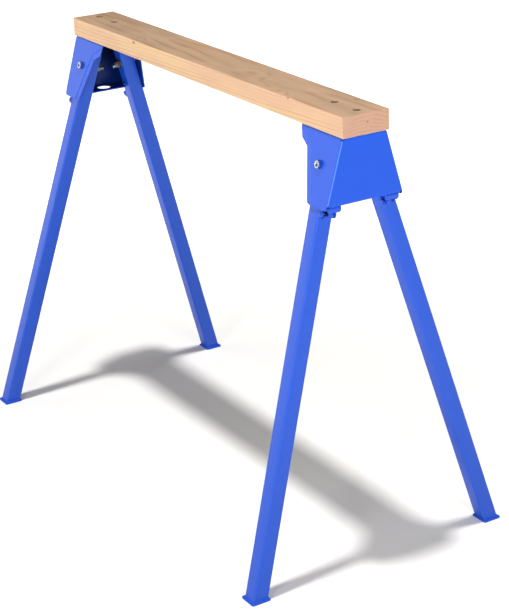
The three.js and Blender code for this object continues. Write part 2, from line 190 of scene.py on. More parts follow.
def rounded(corners, steps=6):
    """An outline whose corners are (x, y, radius), run anticlockwise.

    An arc's centre lies on the corner's bisector, radius / sin(half the corner's angle) away.
    """
    table = np.array(corners, float)
    corner, radius = table[:, :2], table[:, 2:]
    back = unit(np.roll(corner, 1, 0) - corner)
    ahead = unit(np.roll(corner, -1, 0) - corner)
    half = np.arccos(np.clip((back * ahead).sum(1, keepdims=True), -1, 1)) / 2
    centre = corner + unit(back + ahead) * radius / np.sin(half)
    reach = radius / np.tan(half)
    start = corner + back * reach - centre
    end = corner + ahead * reach - centre
    first = np.arctan2(start[:, 1], start[:, 0])
    turn = (np.arctan2(end[:, 1], end[:, 0]) - first + np.pi) % (2 * np.pi) - np.pi
    angle = first[:, None] + turn[:, None] * np.linspace(0, 1, steps + 1)
    arc = stacked(np.cos(angle), np.sin(angle)) * radius[:, None]
    return (centre[:, None] + arc).reshape(-1, 2)


def slab(outline, low, high, ease=0.4, steps=3):
    """An anticlockwise outline with a thickness along z and eased edges.

    Each edge is a quarter circle: the inset is ease (1 - sin a) at the height ease (1 - cos a).
    """
    along = np.roll(outline, -1, 0) - np.roll(outline, 1, 0)
    outward = unit(stacked(along[:, 1], -along[:, 0]))
    a = np.linspace(0, np.pi / 2, steps + 1)
    inset = ease * (1 - np.sin(a))
    lift = ease * (1 - np.cos(a))
    inset = np.concatenate([inset, inset[::-1]])
    height = np.concatenate([low + lift, (high - lift)[::-1]])
    flat = outline - outward * inset[:, None, None]
    walls = stacked(flat[..., 0], flat[..., 1], height[:, None])
    pole = np.broadcast_to(np.append(outline.mean(0), 0), walls[:1].shape)
    return sheet(np.concatenate([pole + (0, 0, low), walls, pole + (0, 0, high)]), around=True)


print("a rounded triangle has", len(rounded([(0, 0, 1), (9, 0, 1), (0, 9, 1)])), "points")

# %% A section carried along a path
def carried(path, side, up, section, joined_ends=False):
    """Point (i, j) is path[i] + section[j].x side[i] + section[j].y up[i].

    The section runs anticlockwise as seen against the path, so side x up points along the path.
    An open path gets an end face at each end, gathered to the path's own point.
    """
    section = np.broadcast_to(section, (len(path), *np.shape(section)[-2:]))
    points = path[:, None] + section[..., :1] * side[:, None] + section[..., 1:] * up[:, None]
    if joined_ends:
        return sheet(points, around=True, closed=True)
    ends = [np.broadcast_to(path[i], points[:1].shape) for i in (0, -1)]
    return sheet(np.concatenate([ends[0], points, ends[1]]), around=True)


def circle(radius, sides=12):
    """A circle's points, anticlockwise from the x axis."""
    angle = np.arange(sides) * 2 * np.pi / sides
    return radius * stacked(np.cos(angle), np.sin(angle))


print("a wire's section has", len(circle(1)), "points")

# %% [markdown]
# ## Where things are
# The joints give each leg's turning point and axis, and the boxes of the frame's pieces give the
# rest. Four corners are mirror images of one another, so each piece is drawn once, in the rear
# right-hand corner's own axes, and placed four times. Mirror axes turn faces inside out, so
# placing turns them back.

# %% Frames of reference
MM = 0.001
along_x, along_y, along_z = np.eye(3)
joints = {joint["name"]: joint for joint in frame["joints"]}


def box_mm(node):
    """A frame piece's lowest and highest corner, in millimetres."""
    return [np.array(corner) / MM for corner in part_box(node)]


def placed(surface, place):
    """Points in a place's own axes, moved into the sawhorse's and turned to metres."""
    origin, axes = place
    points, faces = over(surface) if np.linalg.det(axes) < 0 else surface
    return (origin + points @ axes) * MM, faces


beam_low, beam_high = box_mm("top_beam")
underside = beam_low[2]
RECESS_RADIUS, RECESS_DEPTH, RECESS_FIELD = 7.0, 6.5, 11.0
bolt_boxes = {name: box_mm(name) for name in frame["nodes"] if name.startswith("beam_bolt_")}
bolt_middles = {name: (low + high) / 2 for name, (low, high) in bolt_boxes.items()}
places, corners = {}, []
for end_name, end in (("left", -1), ("right", 1)):
    for side_name, side in (("front", -1), ("rear", 1)):
        corner = f"{side_name}_{end_name}"
        corners.append(corner)
        pivot = np.array(joints[f"fold_{corner}"]["pos_m"]) / MM
        bolt_way = np.array(joints[f"fold_{corner}"]["axis"]) * end * side
        level = np.diag([end, side, 1.0])
        flange = np.array([level[0], bolt_way, np.cross(level[0], bolt_way) * end * side])
        foot_low, foot_high = box_mm(f"foot_plate_{corner}")
        foot = (foot_low + foot_high) / 2 * (1, 1, 0)
        out, _, down = flange @ (foot - pivot)
        lean = math.atan2(out, -down)
        cos, sin = math.cos(lean), math.sin(lean)
        tilt = np.array([[cos, 0, sin], [0, 1, 0], [-sin, 0, cos]])
        places[corner] = {
            "level": (pivot, level),
            "flange": (pivot, flange),
            "leg": (pivot, tilt @ flange),
            "foot": (foot, level),
        }
splay = math.asin(places["rear_right"]["flange"][1][1][2])
print("splay", round(math.degrees(splay), 2), "lean", round(math.degrees(lean), 2), "degrees")

# %% [markdown]
# ## Turning surfaces into pieces
# A piece's mesh holds its place, so its object stays at the origin and patterns on object
# coordinates can't slide. Welding gathers the points that grids share, and closes the poles.
# Edges sharper than the crease angle stay crisp, and softer ones shade as one curve.

# %% Make, weld and place a piece
made = {}


def piece(name, surface, place, finish, body, slot, nodes=(), crease=38, weld=0.004):
    """A mesh object from a surface that is placed in its frame of reference, riding on a body."""
    points, faces = placed(surface, place)
    mesh = bpy.data.meshes.new(name)
    mesh.from_pydata(points.tolist(), [], faces.tolist())
    work = bmesh.new()
    work.from_mesh(mesh)
    bmesh.ops.remove_doubles(work, verts=work.verts, dist=weld * MM)
    open_edges = sum(edge.is_boundary for edge in work.edges)
    work.to_mesh(mesh)
    work.free()
    mesh.materials.append(finish)
    mesh.shade_smooth()
    mesh.set_sharp_from_angle(angle=math.radians(crease))
    thing = bpy.data.objects.new(name, mesh)
    bpy.context.scene.collection.objects.link(thing)
    if body:
        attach(thing, body)
    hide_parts(*nodes)
    made[name] = (len(mesh.polygons), open_edges)
    return thing


def corner_piece(corner, name, surface, axes, finish, body, slot, node=None, **more):
    """A corner's piece, drawn in one of its frames of reference, for the frame's own node."""
    nodes = [f"{node}_{corner}"] if node else []
    place = places[corner][axes]
    return piece(f"{name}_{corner}", surface, place, finish, body, slot, nodes, **more)


def thickened(thing, thickness, ease, offset=-1):
    """Gives an open sheet its thickness and eases its edges.

    At offset -1 all of it lies on the side away from the faces, and at 0 half on each side.
    """
    wall = thing.modifiers.new("wall", "SOLIDIFY")
    wall.thickness = thickness * MM
    wall.offset = offset
    wall.use_even_offset = True
    wall.use_rim = True
    soft = thing.modifiers.new("eased_edges", "BEVEL")
    soft.width = ease * MM
    soft.segments = 2
    soft.limit_method = "ANGLE"
    soft.angle_limit = math.radians(50)
    soft.harden_normals = True


# %% [markdown]
# ## Finishes
# Every finish starts from the real material and how its surface was made. Colours are written as
# sRGB hex, as in a paint chart, and turned to the linear values that a shader adds up. Patterns
# read object coordinates, which are metres here, so a pattern's scale is one over a real size.
# A map range is fed from a list: its value, the two ends it comes from and the two it goes to.

# %% Colour and node helpers
COLOUR, SMOOTH = {"data_type": "RGBA"}, {"interpolation_type": "SMOOTHSTEP"}


def tone(code):
    """An sRGB hex colour as linear: over 12.92 near black, and a power curve of 2.4 above."""
    value = np.array([int(code[i : i + 2], 16) for i in (1, 3, 5)]) / 255
    linear = np.where(value <= 0.04045, value / 12.92, ((value + 0.055) / 1.055) ** 2.4)
    return (*linear.tolist(), 1.0)


def feed(node, inputs):
    """Fills inputs by name, or from a list in order, with values, hex colours, sockets or nodes.

    A node stands for the first output that it has in use.
    """
    for name, value in inputs.items() if isinstance(inputs, dict) else enumerate(inputs):
        if isinstance(value, str):
            value = tone(value)
        if isinstance(value, bpy.types.Node):
            value = next(output for output in value.outputs if output.enabled)
        if isinstance(value, bpy.types.NodeSocket):
            node.id_data.links.new(value, node.inputs[name])
        else:
            node.inputs[name].default_value = value


def add(tree, kind, inputs, **settings):
    """Adds a node with its settings, and feeds it."""
    node = tree.nodes.new("ShaderNode" + kind)
    for name, value in settings.items():
        setattr(node, name, value)
    feed(node, inputs)
    return node


def new_finish(name):
    """An empty node material, its tree, its shader and the coordinates that patterns read."""
    finish = bpy.data.materials.new(name)
    finish.use_nodes = True
    tree = finish.node_tree
    tree.nodes.clear()
    shader = add(tree, "BsdfPrincipled", {})
    add(tree, "OutputMaterial", {"Surface": shader})
    where = add(tree, "TexCoord", {}).outputs["Object"]
    return finish, tree, shader, where


def mottled(name, size, detail, dark, light, shiny, dull):
    """A finish whose colour and gloss follow one noise, and its tree, shader, place and noise."""
    finish, tree, shader, where = new_finish(name)
    noise = add(tree, "TexNoise", {"Vector": where, "Scale": 1 / size, "Detail": detail})
    blend = add(tree, "Mix", {"Factor": noise, "A": dark, "B": light}, **COLOUR)
    gloss = add(tree, "MapRange", [noise, 0, 1, shiny, dull])
    feed(shader, {"Base Color": blend, "Roughness": gloss})
    return finish, tree, shader, where, noise


print("a hex value of 80 is", round(tone("#808080")[0], 3), "of white in linear light")

# %% [markdown]
# ### Powder-coated steel
# Dry polyester powder is sprayed on and melts into a thick, even skin. It flows a little, so the
# surface has orange peel: soft dimples some 3 mm wide and a few hundredths deep. It gives the eye
# a saturated, satin blue whose highlights are broad and slightly restless. The powder gathers
# unevenly, which shows as a faint drift of depth in the colour. Polyester has an index near 1.5,
# which suits the tubes and plates. The brackets shine less, and a lower index matches them.

# %% Powder coat
DRIFT, PEEL, PEEL_DEPTH = 0.060, 0.003, 0.00006


def powder_coat(name, colour, deep, roughness, ior):
    """A slow noise drifts colour and gloss together, and a fine one raises the orange peel."""
    gloss = roughness - 0.03, roughness + 0.05
    finish, tree, shader, where, _ = mottled(name, DRIFT, 2.0, deep, colour, *gloss)
    peel = add(tree, "TexNoise", {"Vector": where, "Scale": 1 / PEEL, "Detail": 1.0})
    relief = add(tree, "Bump", {"Height": peel, "Strength": 0.35, "Distance": PEEL_DEPTH})
    feed(shader, {"Normal": relief, "IOR": ior})
    return finish


bracket_coat = powder_coat("powder_coated_sheet", "#064ECC", "#044AC4", 0.33, 1.35)
leg_coat = powder_coat("powder_coated_tube", "#084EC8", "#0649BE", 0.42, 1.47)
latch_coat = powder_coat("powder_coated_plate", "#084CC8", "#0648BF", 0.36, 1.47)
print("powder coat has", len(leg_coat.node_tree.nodes), "nodes")

# %% [markdown]
# Faces inside each bracket are darkened as painted shade, more and more towards the top under the
# beam. A face looks inwards if it faces a point in the middle of its bracket. On the fold beside
# the end plate the coat is painted paler, a painted highlight, and made smoother, where the mesh's
# own attribute for it says so.

# %% Painted shade inside, painted highlight on the fold
BOX_MIDDLE_X, BOX_MIDDLE_Z = 0.425, 0.705
SHADE_FROM, SHADE_DEEPEST_ABOVE = 0.640, 0.735
tree = bracket_coat.node_tree
shader, coords = tree.nodes["Principled BSDF"], tree.nodes["Texture Coordinate"]
coat_colour, coat_gloss = (
    shader.inputs[name].links[0].from_socket for name in ("Base Color", "Roughness")
)
spot, looks = coords.outputs["Object"], coords.outputs["Normal"]
parts = add(tree, "SeparateXYZ", {"Vector": spot})
end_sign = add(tree, "Math", [parts.outputs["X"]], operation="SIGN")
middle_x = add(tree, "Math", [end_sign, BOX_MIDDLE_X], operation="MULTIPLY")
box_middle = add(tree, "CombineXYZ", {"X": middle_x, "Z": BOX_MIDDLE_Z})
to_middle = add(tree, "VectorMath", [box_middle, spot], operation="SUBTRACT")
looks_in = add(tree, "VectorMath", [to_middle, looks], operation="DOT_PRODUCT")
inner = add(tree, "MapRange", [looks_in, 0.004, 0.014, 0, 1], **SMOOTH)
# Painted shade: faces inside the bracket darken, more towards the top under the beam.
shade_by_height = add(tree, "MapRange", [parts.outputs["Z"], SHADE_FROM, SHADE_DEEPEST_ABOVE, 0.62, 1])
painted_shade = add(tree, "Math", [inner, shade_by_height], operation="MULTIPLY")
shaded_coat = add(tree, "Mix", {"Factor": painted_shade, "A": coat_colour, "B": "#020514"}, **COLOUR)
# Painted highlight: the fold beside the end plate is drawn paler, and smoother.
fold_highlight = add(tree, "Attribute", {}, attribute_name="fold_highlight").outputs["Fac"]
highlighted_coat = add(tree, "Mix", {"Factor": fold_highlight, "A": shaded_coat, "B": "#4A80EA"}, **COLOUR)
smoothed = add(tree, "Mix", {"Factor": fold_highlight, "A": coat_gloss, "B": 0.30}, data_type="FLOAT")
feed(shader, {"Base Color": highlighted_coat, "Roughness": smoothed})
print("bracket coat has", len(tree.nodes), "nodes")

# %% [markdown]
# ### Plated steel
# Fasteners are tumbled in a zinc bath, which leaves a thin bright metal skin with a cold, slightly
# uneven shine. Handling marks run through it at about 1.5 mm. The pivot bolts and sleeves keep
# their bluish shine. Nuts, washers and beam bolts are drawn duller and darker: the darker colour is
# painted shade, for the shade they sit in. Spring wire is nearly black with oil. All of a metal's
# colour is reflection, so its index of refraction stays as it comes.

# %% Zinc plate and spring wire
MARKS, MARK_DEPTH = 0.0015, 0.00003


def plated(name, light, dark, roughness):
    """One noise moves colour, gloss and relief together, as handling does."""
    gloss = roughness - 0.07, roughness + 0.09
    finish, tree, shader, _, marks = mottled(name, MARKS, 3.0, dark, light, *gloss)
    relief = add(tree, "Bump", {"Height": marks, "Strength": 0.15, "Distance": MARK_DEPTH})
    feed(shader, {"Normal": relief, "Metallic": 1.0})
    return finish


zinc = plated("zinc_plated_steel", "#B4BDCE", "#838DA2", 0.30)
# Painted shade: a darker copy of the plate for nuts, washers and beam bolts.
shade_darkened_steel = plated("shade_darkened_plated_steel", "#8E8C88", "#6B6965", 0.40)
wire_steel = plated("oiled_spring_wire", "#252A36", "#161A22", 0.36)
print("plate has", len(zinc.node_tree.nodes), "nodes")

# %% [markdown]
# ### Nylon
# The thrust washers and the collars that stop the nuts from working loose are moulded nylon. Light
# enters a little way and comes back milky, which subsurface scattering gives.

# %% Nylon
nylon, tree, shader, where = new_finish("natural_nylon")
CLOUD = 0.004
cloud = add(tree, "TexNoise", {"Vector": where, "Scale": 1 / CLOUD, "Detail": 2.0})
blend = add(tree, "Mix", {"Factor": cloud, "A": "#DAD7CC", "B": "#EDEBE3"}, **COLOUR)
feed(shader, {
    "Base Color": blend, "Roughness": 0.48, "Subsurface Weight": 0.15,
    "Subsurface Radius": (0.002, 0.002, 0.0018), "Subsurface Scale": 1.0,
})
print("nylon has", len(tree.nodes), "nodes")

# %% [markdown]
# ### Planed pine
# Pine grows a pale, soft band each spring and a narrow, darker band each summer, so a log is a
# stack of rings round its pith. Sawing a board flat from below the bark cuts those rings at a low
# angle: lines along the edges, arcs on the end and broad tongues on top. Here the distance from a
# tilted pith line, warped a little along the grain, is counted off in rings of 6.2 mm. A branch
# leaves a knot that the rings bend round.

# %% Pine: knots and rings
pine, tree, shader, where = new_finish("planed_pine")
PITH, PITH_TURN, RING = (0.0, 0.012, 0.638), (0.0, 0.016, 0.030), 0.0062
KNOT_STRETCH = 0.55
# Each knot has a place, a radius and a strength.
knots = [
    ((-0.2154, -0.0450, 0.7802), 0.0030, 0.8), ((-0.2250, -0.0290, 0.7850), 0.0045, 0.35),
    ((0.4660, 0.0023, 0.7708), 0.0022, 0.8), ((0.1370, -0.0050, 0.7850), 0.0080, 0.30),
    ((0.2640, -0.0320, 0.7850), 0.0045, 0.35), ((0.3100, -0.0450, 0.7845), 0.0024, 0.7),
    ((0.3910, 0.0320, 0.7850), 0.0022, 0.5), ((0.2300, 0.0450, 0.7640), 0.0060, 0.9),
    ((-0.0900, 0.0200, 0.7500), 0.0080, 0.9),
]
# Each noise is stretched along the grain, and has a length, a width and a detail. Real fibres are
# a few hundredths wide, too fine to show, so they are drawn 1.6 mm wide.
warp, vigour, fibre, blotch = (
    add(tree, "TexNoise", {
        "Vector": add(tree, "Mapping", {"Vector": where, "Scale": (1 / long, 1 / wide, 1 / wide)}),
        "Scale": 1.0, "Detail": detail,
    })
    for long, wide, detail in (
        (0.35, 0.05, 3.0), (0.30, 0.016, 1.0), (0.060, 0.0016, 2.0), (0.12, 0.04, 2.0)
    )
)
trunk = add(
    tree, "Mapping", {"Vector": where, "Location": (0, -PITH[1], -PITH[2]), "Rotation": PITH_TURN}
)
centred = add(
    tree, "VectorMath", [warp.outputs["Color"], (0.5, 0.5, 0.5)], operation="SUBTRACT"
)
shift = add(tree, "VectorMath", {0: centred, "Scale": 0.014}, operation="SCALE")
bent = add(tree, "VectorMath", [trunk, shift], operation="ADD")
across = add(tree, "VectorMath", [bent, (0, 1, 1)], operation="MULTIPLY")
radius = add(tree, "VectorMath", [across], operation="LENGTH")
shortened = add(tree, "VectorMath", [where, (KNOT_STRETCH, 1, 1)], operation="MULTIPLY")
knot_mask = 0.0
for place, size, strength in knots:
    place = (KNOT_STRETCH * place[0], *place[1:])
    away = add(tree, "VectorMath", [shortened, place], operation="DISTANCE")
    swell, core = (
        add(tree, "MapRange", [away, near * size, far * size, most, 0], **SMOOTH)
        for near, far, most in ((1, 4.5, 0.9 * size), (0.45, 1.25, strength))
    )
    radius = add(tree, "Math", [radius, swell], operation="ADD")
    knot_mask = add(tree, "Math", [knot_mask, core], operation="MAXIMUM")
count = add(tree, "Math", [radius, 1 / RING], operation="MULTIPLY")
phase = add(tree, "Math", [count], operation="FRACT")
summer = add(tree, "MapRange", [phase, 0.42, 0.92, 0, 1], **SMOOTH)
winter = add(tree, "MapRange", [phase, 0.92, 1, 1, 0], **SMOOTH)
line = add(tree, "Math", [summer, winter], operation="MULTIPLY")
marked = add(tree, "MapRange", [vigour, 0.36, 0.62, 0.1, 1])
band = add(tree, "Math", [line, marked], operation="MULTIPLY")
figure = add(tree, "Mix", {"Factor": fibre, "A": band, "B": 0.32}, data_type="FLOAT")
print(len(knots), "knots bend the rings")

# %% [markdown]
# The board's faces differ in tone. Its sides are freshly planed, and the top is painted greyer,
# darker and uneven, as painted shade. The end's open pores drink light and look redder. Inside the
# bored holes the wood is painted darker, most of all at the bottom, as painted shade.

# %% Pine: tones
TOP, END, SKIN = beam_high[2] * MM, beam_high[0] * MM, 0.0012
warmth = add(tree, "MapRange", [blotch, 0.38, 0.62, 0, 1], **SMOOTH)
early = add(tree, "Mix", {"Factor": warmth, "A": "#DBB290", "B": "#E2BE92"}, **COLOUR)
wood = add(tree, "Mix", {"Factor": figure, "A": early, "B": "#BC8A60"}, **COLOUR)
parts = add(tree, "SeparateXYZ", {"Vector": where})
end_way = add(tree, "Math", [parts.outputs["X"]], operation="ABSOLUTE")
top_mask, end_grain = (
    add(tree, "MapRange", [way, face - SKIN, face - full, 0, strength], **SMOOTH)
    for way, face, full, strength in (
        (parts.outputs["Z"], TOP, 0.0001, 0.92), (end_way, END, 0.0002, 0.88)
    )
)
# Painted shade on the top: greyer and darker than the sides, in uneven patches.
top_shade_patches = add(tree, "MapRange", [blotch, 0.3, 0.7, 0.5, 0.95])
top_shade = add(tree, "Math", [top_mask, top_shade_patches], operation="MULTIPLY")
for mask, light, dark in ((top_shade, "#A48870", "#83664F"), (end_grain, "#B68E78", "#9C7059")):
    other = add(tree, "Mix", {"Factor": figure, "A": light, "B": dark}, **COLOUR)
    wood = add(tree, "Mix", {"Factor": mask, "A": wood, "B": other}, **COLOUR)
plan = add(tree, "VectorMath", [where, (1, 1, 0)], operation="MULTIPLY")
# Painted shade in the bored holes, darker towards their bottom.
HOLE_SHADE_FROM, HOLE_SHADE_TO = (RECESS_RADIUS - 0.2) * MM, (RECESS_RADIUS + 0.4) * MM
bored = 0.0
for middle in bolt_middles.values():
    hole = (middle[0] * MM, middle[1] * MM, 0)
    away = add(tree, "VectorMath", [plan, hole], operation="DISTANCE")
    inside = add(tree, "MapRange", [away, HOLE_SHADE_FROM, HOLE_SHADE_TO, 1, 0])
    bored = add(tree, "Math", [bored, inside], operation="MAXIMUM")
deep = add(tree, "MapRange", [parts.outputs["Z"], TOP - 0.0025, TOP - 0.0004, 1, 0.25])
hole_shade = add(tree, "Math", [bored, deep], operation="MULTIPLY")
for mask, dark in ((knot_mask, "#8A5A36"), (hole_shade, "#4A3322")):
    wood = add(tree, "Mix", {"Factor": mask, "A": wood, "B": dark}, **COLOUR)
relief = add(tree, "Bump", {"Height": figure, "Strength": 0.4, "Distance": 0.00012})
feed(shader, {"Base Color": wood, "Normal": relief, "Roughness": 0.62})
print("pine has", len(tree.nodes), "nodes")

# %% [markdown]
# ## The beam
# A planed board with slightly eased, slightly bruised edges and four round recesses that take
# the bolt heads below the surface. A box whose faces are grids can be eased in one step: every
# point goes to the nearest point of a smaller box and then back out by the easing radius, which
# rounds edges and corners together. Recesses are polar grids that pass from a square, which
# meets the board's own grid, to a circle.

# %% The board
EDGE = 1.5


def filled(anchors, gap):
    """The anchors in order, with evenly spaced lines in every space wider than the gap."""
    counts = np.ceil(np.diff(anchors) / gap).astype(int).clip(1)
    spaces = zip(anchors[:-1], anchors[1:], counts)
    lines = [np.linspace(a, b, n, endpoint=False) for a, b, n in spaces]
    return np.append(np.concatenate(lines), anchors[-1])


def eased_lines(low, high, anchors, gap):
    """Grid lines from face to face, at equal angles round each eased edge: ease tan(angle)."""
    arc = EDGE * np.tan(np.linspace(0, np.pi / 4, 5))
    inner = filled([low + EDGE, *anchors, high - EDGE], gap)[1:-1]
    return np.concatenate([low + EDGE - arc[::-1], inner, high - EDGE + arc])


def bruises(x):
    """How far the edges are worn back along the beam, from sums of waves, squared twice."""
    waves = np.sin(x / 23.0) + np.sin(x / 37.0 + 1.0) + np.sin(x / 9.1 + 2.0)
    return 0.08 + 0.55 * (waves / 3) ** 4


def board():
    """Six grids, with square openings for the recesses in the top one, eased into one box."""
    square = RECESS_FIELD * np.tan(np.linspace(-np.pi / 4, np.pi / 4, 9))
    recess_x = sorted(middle[0] for middle in bolt_middles.values())
    anchors = [np.concatenate([x + square for x in recess_x]), square, []]
    lines = [
        eased_lines(low, high, stops, gap)
        for low, high, stops, gap in zip(beam_low, beam_high, anchors, (4.5, 5.0, 3.0))
    ]
    faces = []
    for axis in range(3):
        u, v = (k for k in range(3) if k != axis)
        for wall in (beam_low[axis], beam_high[axis]):
            points = np.empty((len(lines[u]), len(lines[v]), 3))
            points[..., u] = lines[u][:, None]
            points[..., v] = lines[v]
            points[..., axis] = wall
            keep = None
            if axis == 2 and wall == beam_high[2]:
                x = (lines[0][1:] + lines[0][:-1])[:, None] / 2
                y = (lines[1][1:] + lines[1][:-1]) / 2
                near = np.abs(x - np.array(recess_x)[:, None, None]).min(0)
                keep = (near > RECESS_FIELD) | (np.abs(y) > RECESS_FIELD)
            out = np.eye(3)[axis] * (1 if wall == beam_high[axis] else -1)
            faces.append(facing(out, sheet(points, keep)))
    points, quads = joined(*faces)
    core = points.clip(beam_low + EDGE, beam_high - EDGE)
    away = unit(points - core)
    corner = 2 * np.abs(away[:, 1] * away[:, 2])
    worn = EDGE - corner * bruises(core[:, 0] + 90 * np.sign(away[:, 1]) + 40 * away[:, 2])
    return core + away * worn[:, None], quads


def recess(middle):
    """Rows of (radius, height, squareness): a square's radius is 1 / max(|cos a|, |sin a|)."""
    wall = RECESS_RADIUS
    rows = np.array([
        (RECESS_FIELD, 0, 1), (9.8, 0, 0.5), (8.6, 0, 0.15), (wall + 0.9, 0, 0),
        (wall + 0.3, -0.15, 0), (wall, -0.6, 0), (wall, -3, 0), (wall, 0.4 - RECESS_DEPTH, 0),
        (wall - 0.5, -RECESS_DEPTH, 0), (3.4, -RECESS_DEPTH, 0), (0, -RECESS_DEPTH, 0),
    ])
    radius, height, square = rows.T[:, :, None]
    angle = np.arange(32) * np.pi / 16
    corner = 1 / np.maximum(np.abs(np.cos(angle)), np.abs(np.sin(angle)))
    points = polar(radius * (1 + square * (corner - 1)), angle, height)
    return facing(along_z, sheet(points + (middle[0], middle[1], beam_high[2]), around=True))


piece(
    "pine_beam", joined(board(), *(recess(middle) for middle in bolt_middles.values())),
    (np.zeros(3), np.eye(3)), pine, "frame", "timber", ["top_beam"],
)
print("beam:", made["pine_beam"], "faces and open edges")

# %% [markdown]
# ## The brackets
# One sheet 2 mm thick is cut to shape and folded five times: a top plate under the beam, an end
# plate, two sloping flanges that the legs hang on, and a lip at the bottom with a hanging hole
# and a slot for each latch. Small gaps are left where three folds would meet, and a dab of weld
# closes each of the two upper ones from inside. Outside corners of folds have a 3 mm radius, and
# a band along each flange's free edge is pressed inwards to stiffen it. It is drawn as its outer
# face only, half of it, from grids that share their edges. Mirroring, welding and a thickness
# finish it.

# %% Sizes of a bracket
# Its own axes: x outwards from the end plate, y from the middle, z up from the beam's underside.
SHEET, BEND = 2.0, 3.0
TOP_HALF, END_HEIGHT = 43.0, 110.0
FLANGE_WIDE, FLANGE_LENGTH = 115.0, END_HEIGHT / math.cos(splay) + 4.9
HEEL, TOE = 5.6, 57.0
LIP_DEPTH, LIP_NARROW, LIP_STEP, LIP_CORNER = 46.0, 39.83, 24.74, 4.0
HANG_HOLE, HANG_HOLE_FIELD = (-22.0, 13.5), 17.0
SLOT_X, SLOT_Y = (-16.0, -4.7), (49.13, 62.73)
# How far the gap at an upper corner reaches down, and the radius and place of its weld.
NOTCH, LUMP, LUMP_PLACE = 4.6, 3.7, (-4.4, 38.4, -4.6)
# The pressed band's width, its joggle's width and depth, and how steeply it slants beyond.
BAND, JOGGLE, JOGGLE_DEPTH, BAND_SHARE = 12.0, 1.8, 0.85, 0.06
# Steps in each rounded corner, and the half width of the fold's painted highlight.
ARC, HIGHLIGHT_WIDE = 10, 1.2
EDGE_LINES = np.concatenate([[26, 24.5, 23, 21.5], np.linspace(20, 8, 25), [6.5, 5, 3.5, 2, 1, 0]])
# The flange's free edge runs through these, rounded by 4, 6 and 8 mm.
FREE_CORNERS = np.array([(108.7, 21), (90, 32), (TOE, FLANGE_LENGTH)])
free_edge = rounded([
    (0, -60, 1), (FLANGE_WIDE, -60, 1), (FLANGE_WIDE, 0, 0.1),
    *np.column_stack([FREE_CORNERS, (4, 6, 8)]), (0, FLANGE_LENGTH, 0.1),
], ARC)[ARC + 1 : 6 * (ARC + 1)]
flange_out = np.array([0, math.cos(splay), math.sin(splay)])
flange_down = np.array([0, math.sin(splay), -math.cos(splay)])
flange_reach = TOP_HALF * math.cos(splay)
fold_reach = flange_reach - BEND
beam_line = TOP_HALF * math.sin(splay)


def edge_half(z):
    """Half the end plate's flat width at a height, up to where the fold to the flange begins."""
    return (fold_reach - z * math.sin(splay)) / math.cos(splay)


def slope_at(z):
    """Length down the slope of the fold's row that meets the end plate at a height."""
    return (fold_reach * math.sin(splay) - z) / math.cos(splay)


def fold(centre, first, second, start=0):
    """Points centre + radius (first cos a + second sin a), one row for each angle to 90."""
    a = np.linspace(start, np.pi / 2, 7)[:, None, None]
    return centre + BEND * (first * np.cos(a) + second * np.sin(a))


print("flange:", FLANGE_WIDE, "by", round(FLANGE_LENGTH, 1), "mm")

# %% Flange with its pressed band
def band_depth(x, down):
    """How far the free edge's band lies inwards, from the distance to the flange's free edge.

    Past the joggle the depth grows evenly towards the edge, and the joggle is a smooth step.
    """
    point = stacked(-x, down)[..., None, :]
    start, way = FREE_CORNERS[:-1], np.diff(FREE_CORNERS, axis=0)
    share = (((point - start) * way).sum(-1) / (way * way).sum(-1)).clip(0, 1)
    distance = np.linalg.norm(point - start - share[..., None] * way, axis=-1).min(-1)
    step = ((BAND - distance) / JOGGLE).clip(0, 1)
    slant = BAND_SHARE * (BAND - JOGGLE - distance).clip(0, None)
    return JOGGLE_DEPTH * step * step * (3 - 2 * step) + slant


def flange_points(rows):
    """Rows down the slope, columns from the fold to the free edge, closer together at the edge."""
    down = rows - beam_line
    depth = np.interp(down, free_edge[:, 1], free_edge[:, 0])[:, None]
    drop = (down - (FLANGE_LENGTH - HEEL)).clip(0, HEEL)
    start = (BEND + HEEL - np.sqrt(HEEL**2 - drop**2))[:, None]
    near = depth - EDGE_LINES
    first_share = 2 / (FLANGE_WIDE - EDGE_LINES[0] - BEND)
    share = np.concatenate([[0, first_share], np.linspace(0.12, 0.88, 7)])
    x = -np.concatenate([start + share * (near[:, :1] - start), near], 1)
    out = flange_reach - band_depth(x, down[:, None])
    return stacked(x, out, rows[:, None]) @ np.array([along_x, flange_out, flange_down])


print("the pressed band is", BAND, "mm wide and", JOGGLE_DEPTH, "mm deep")

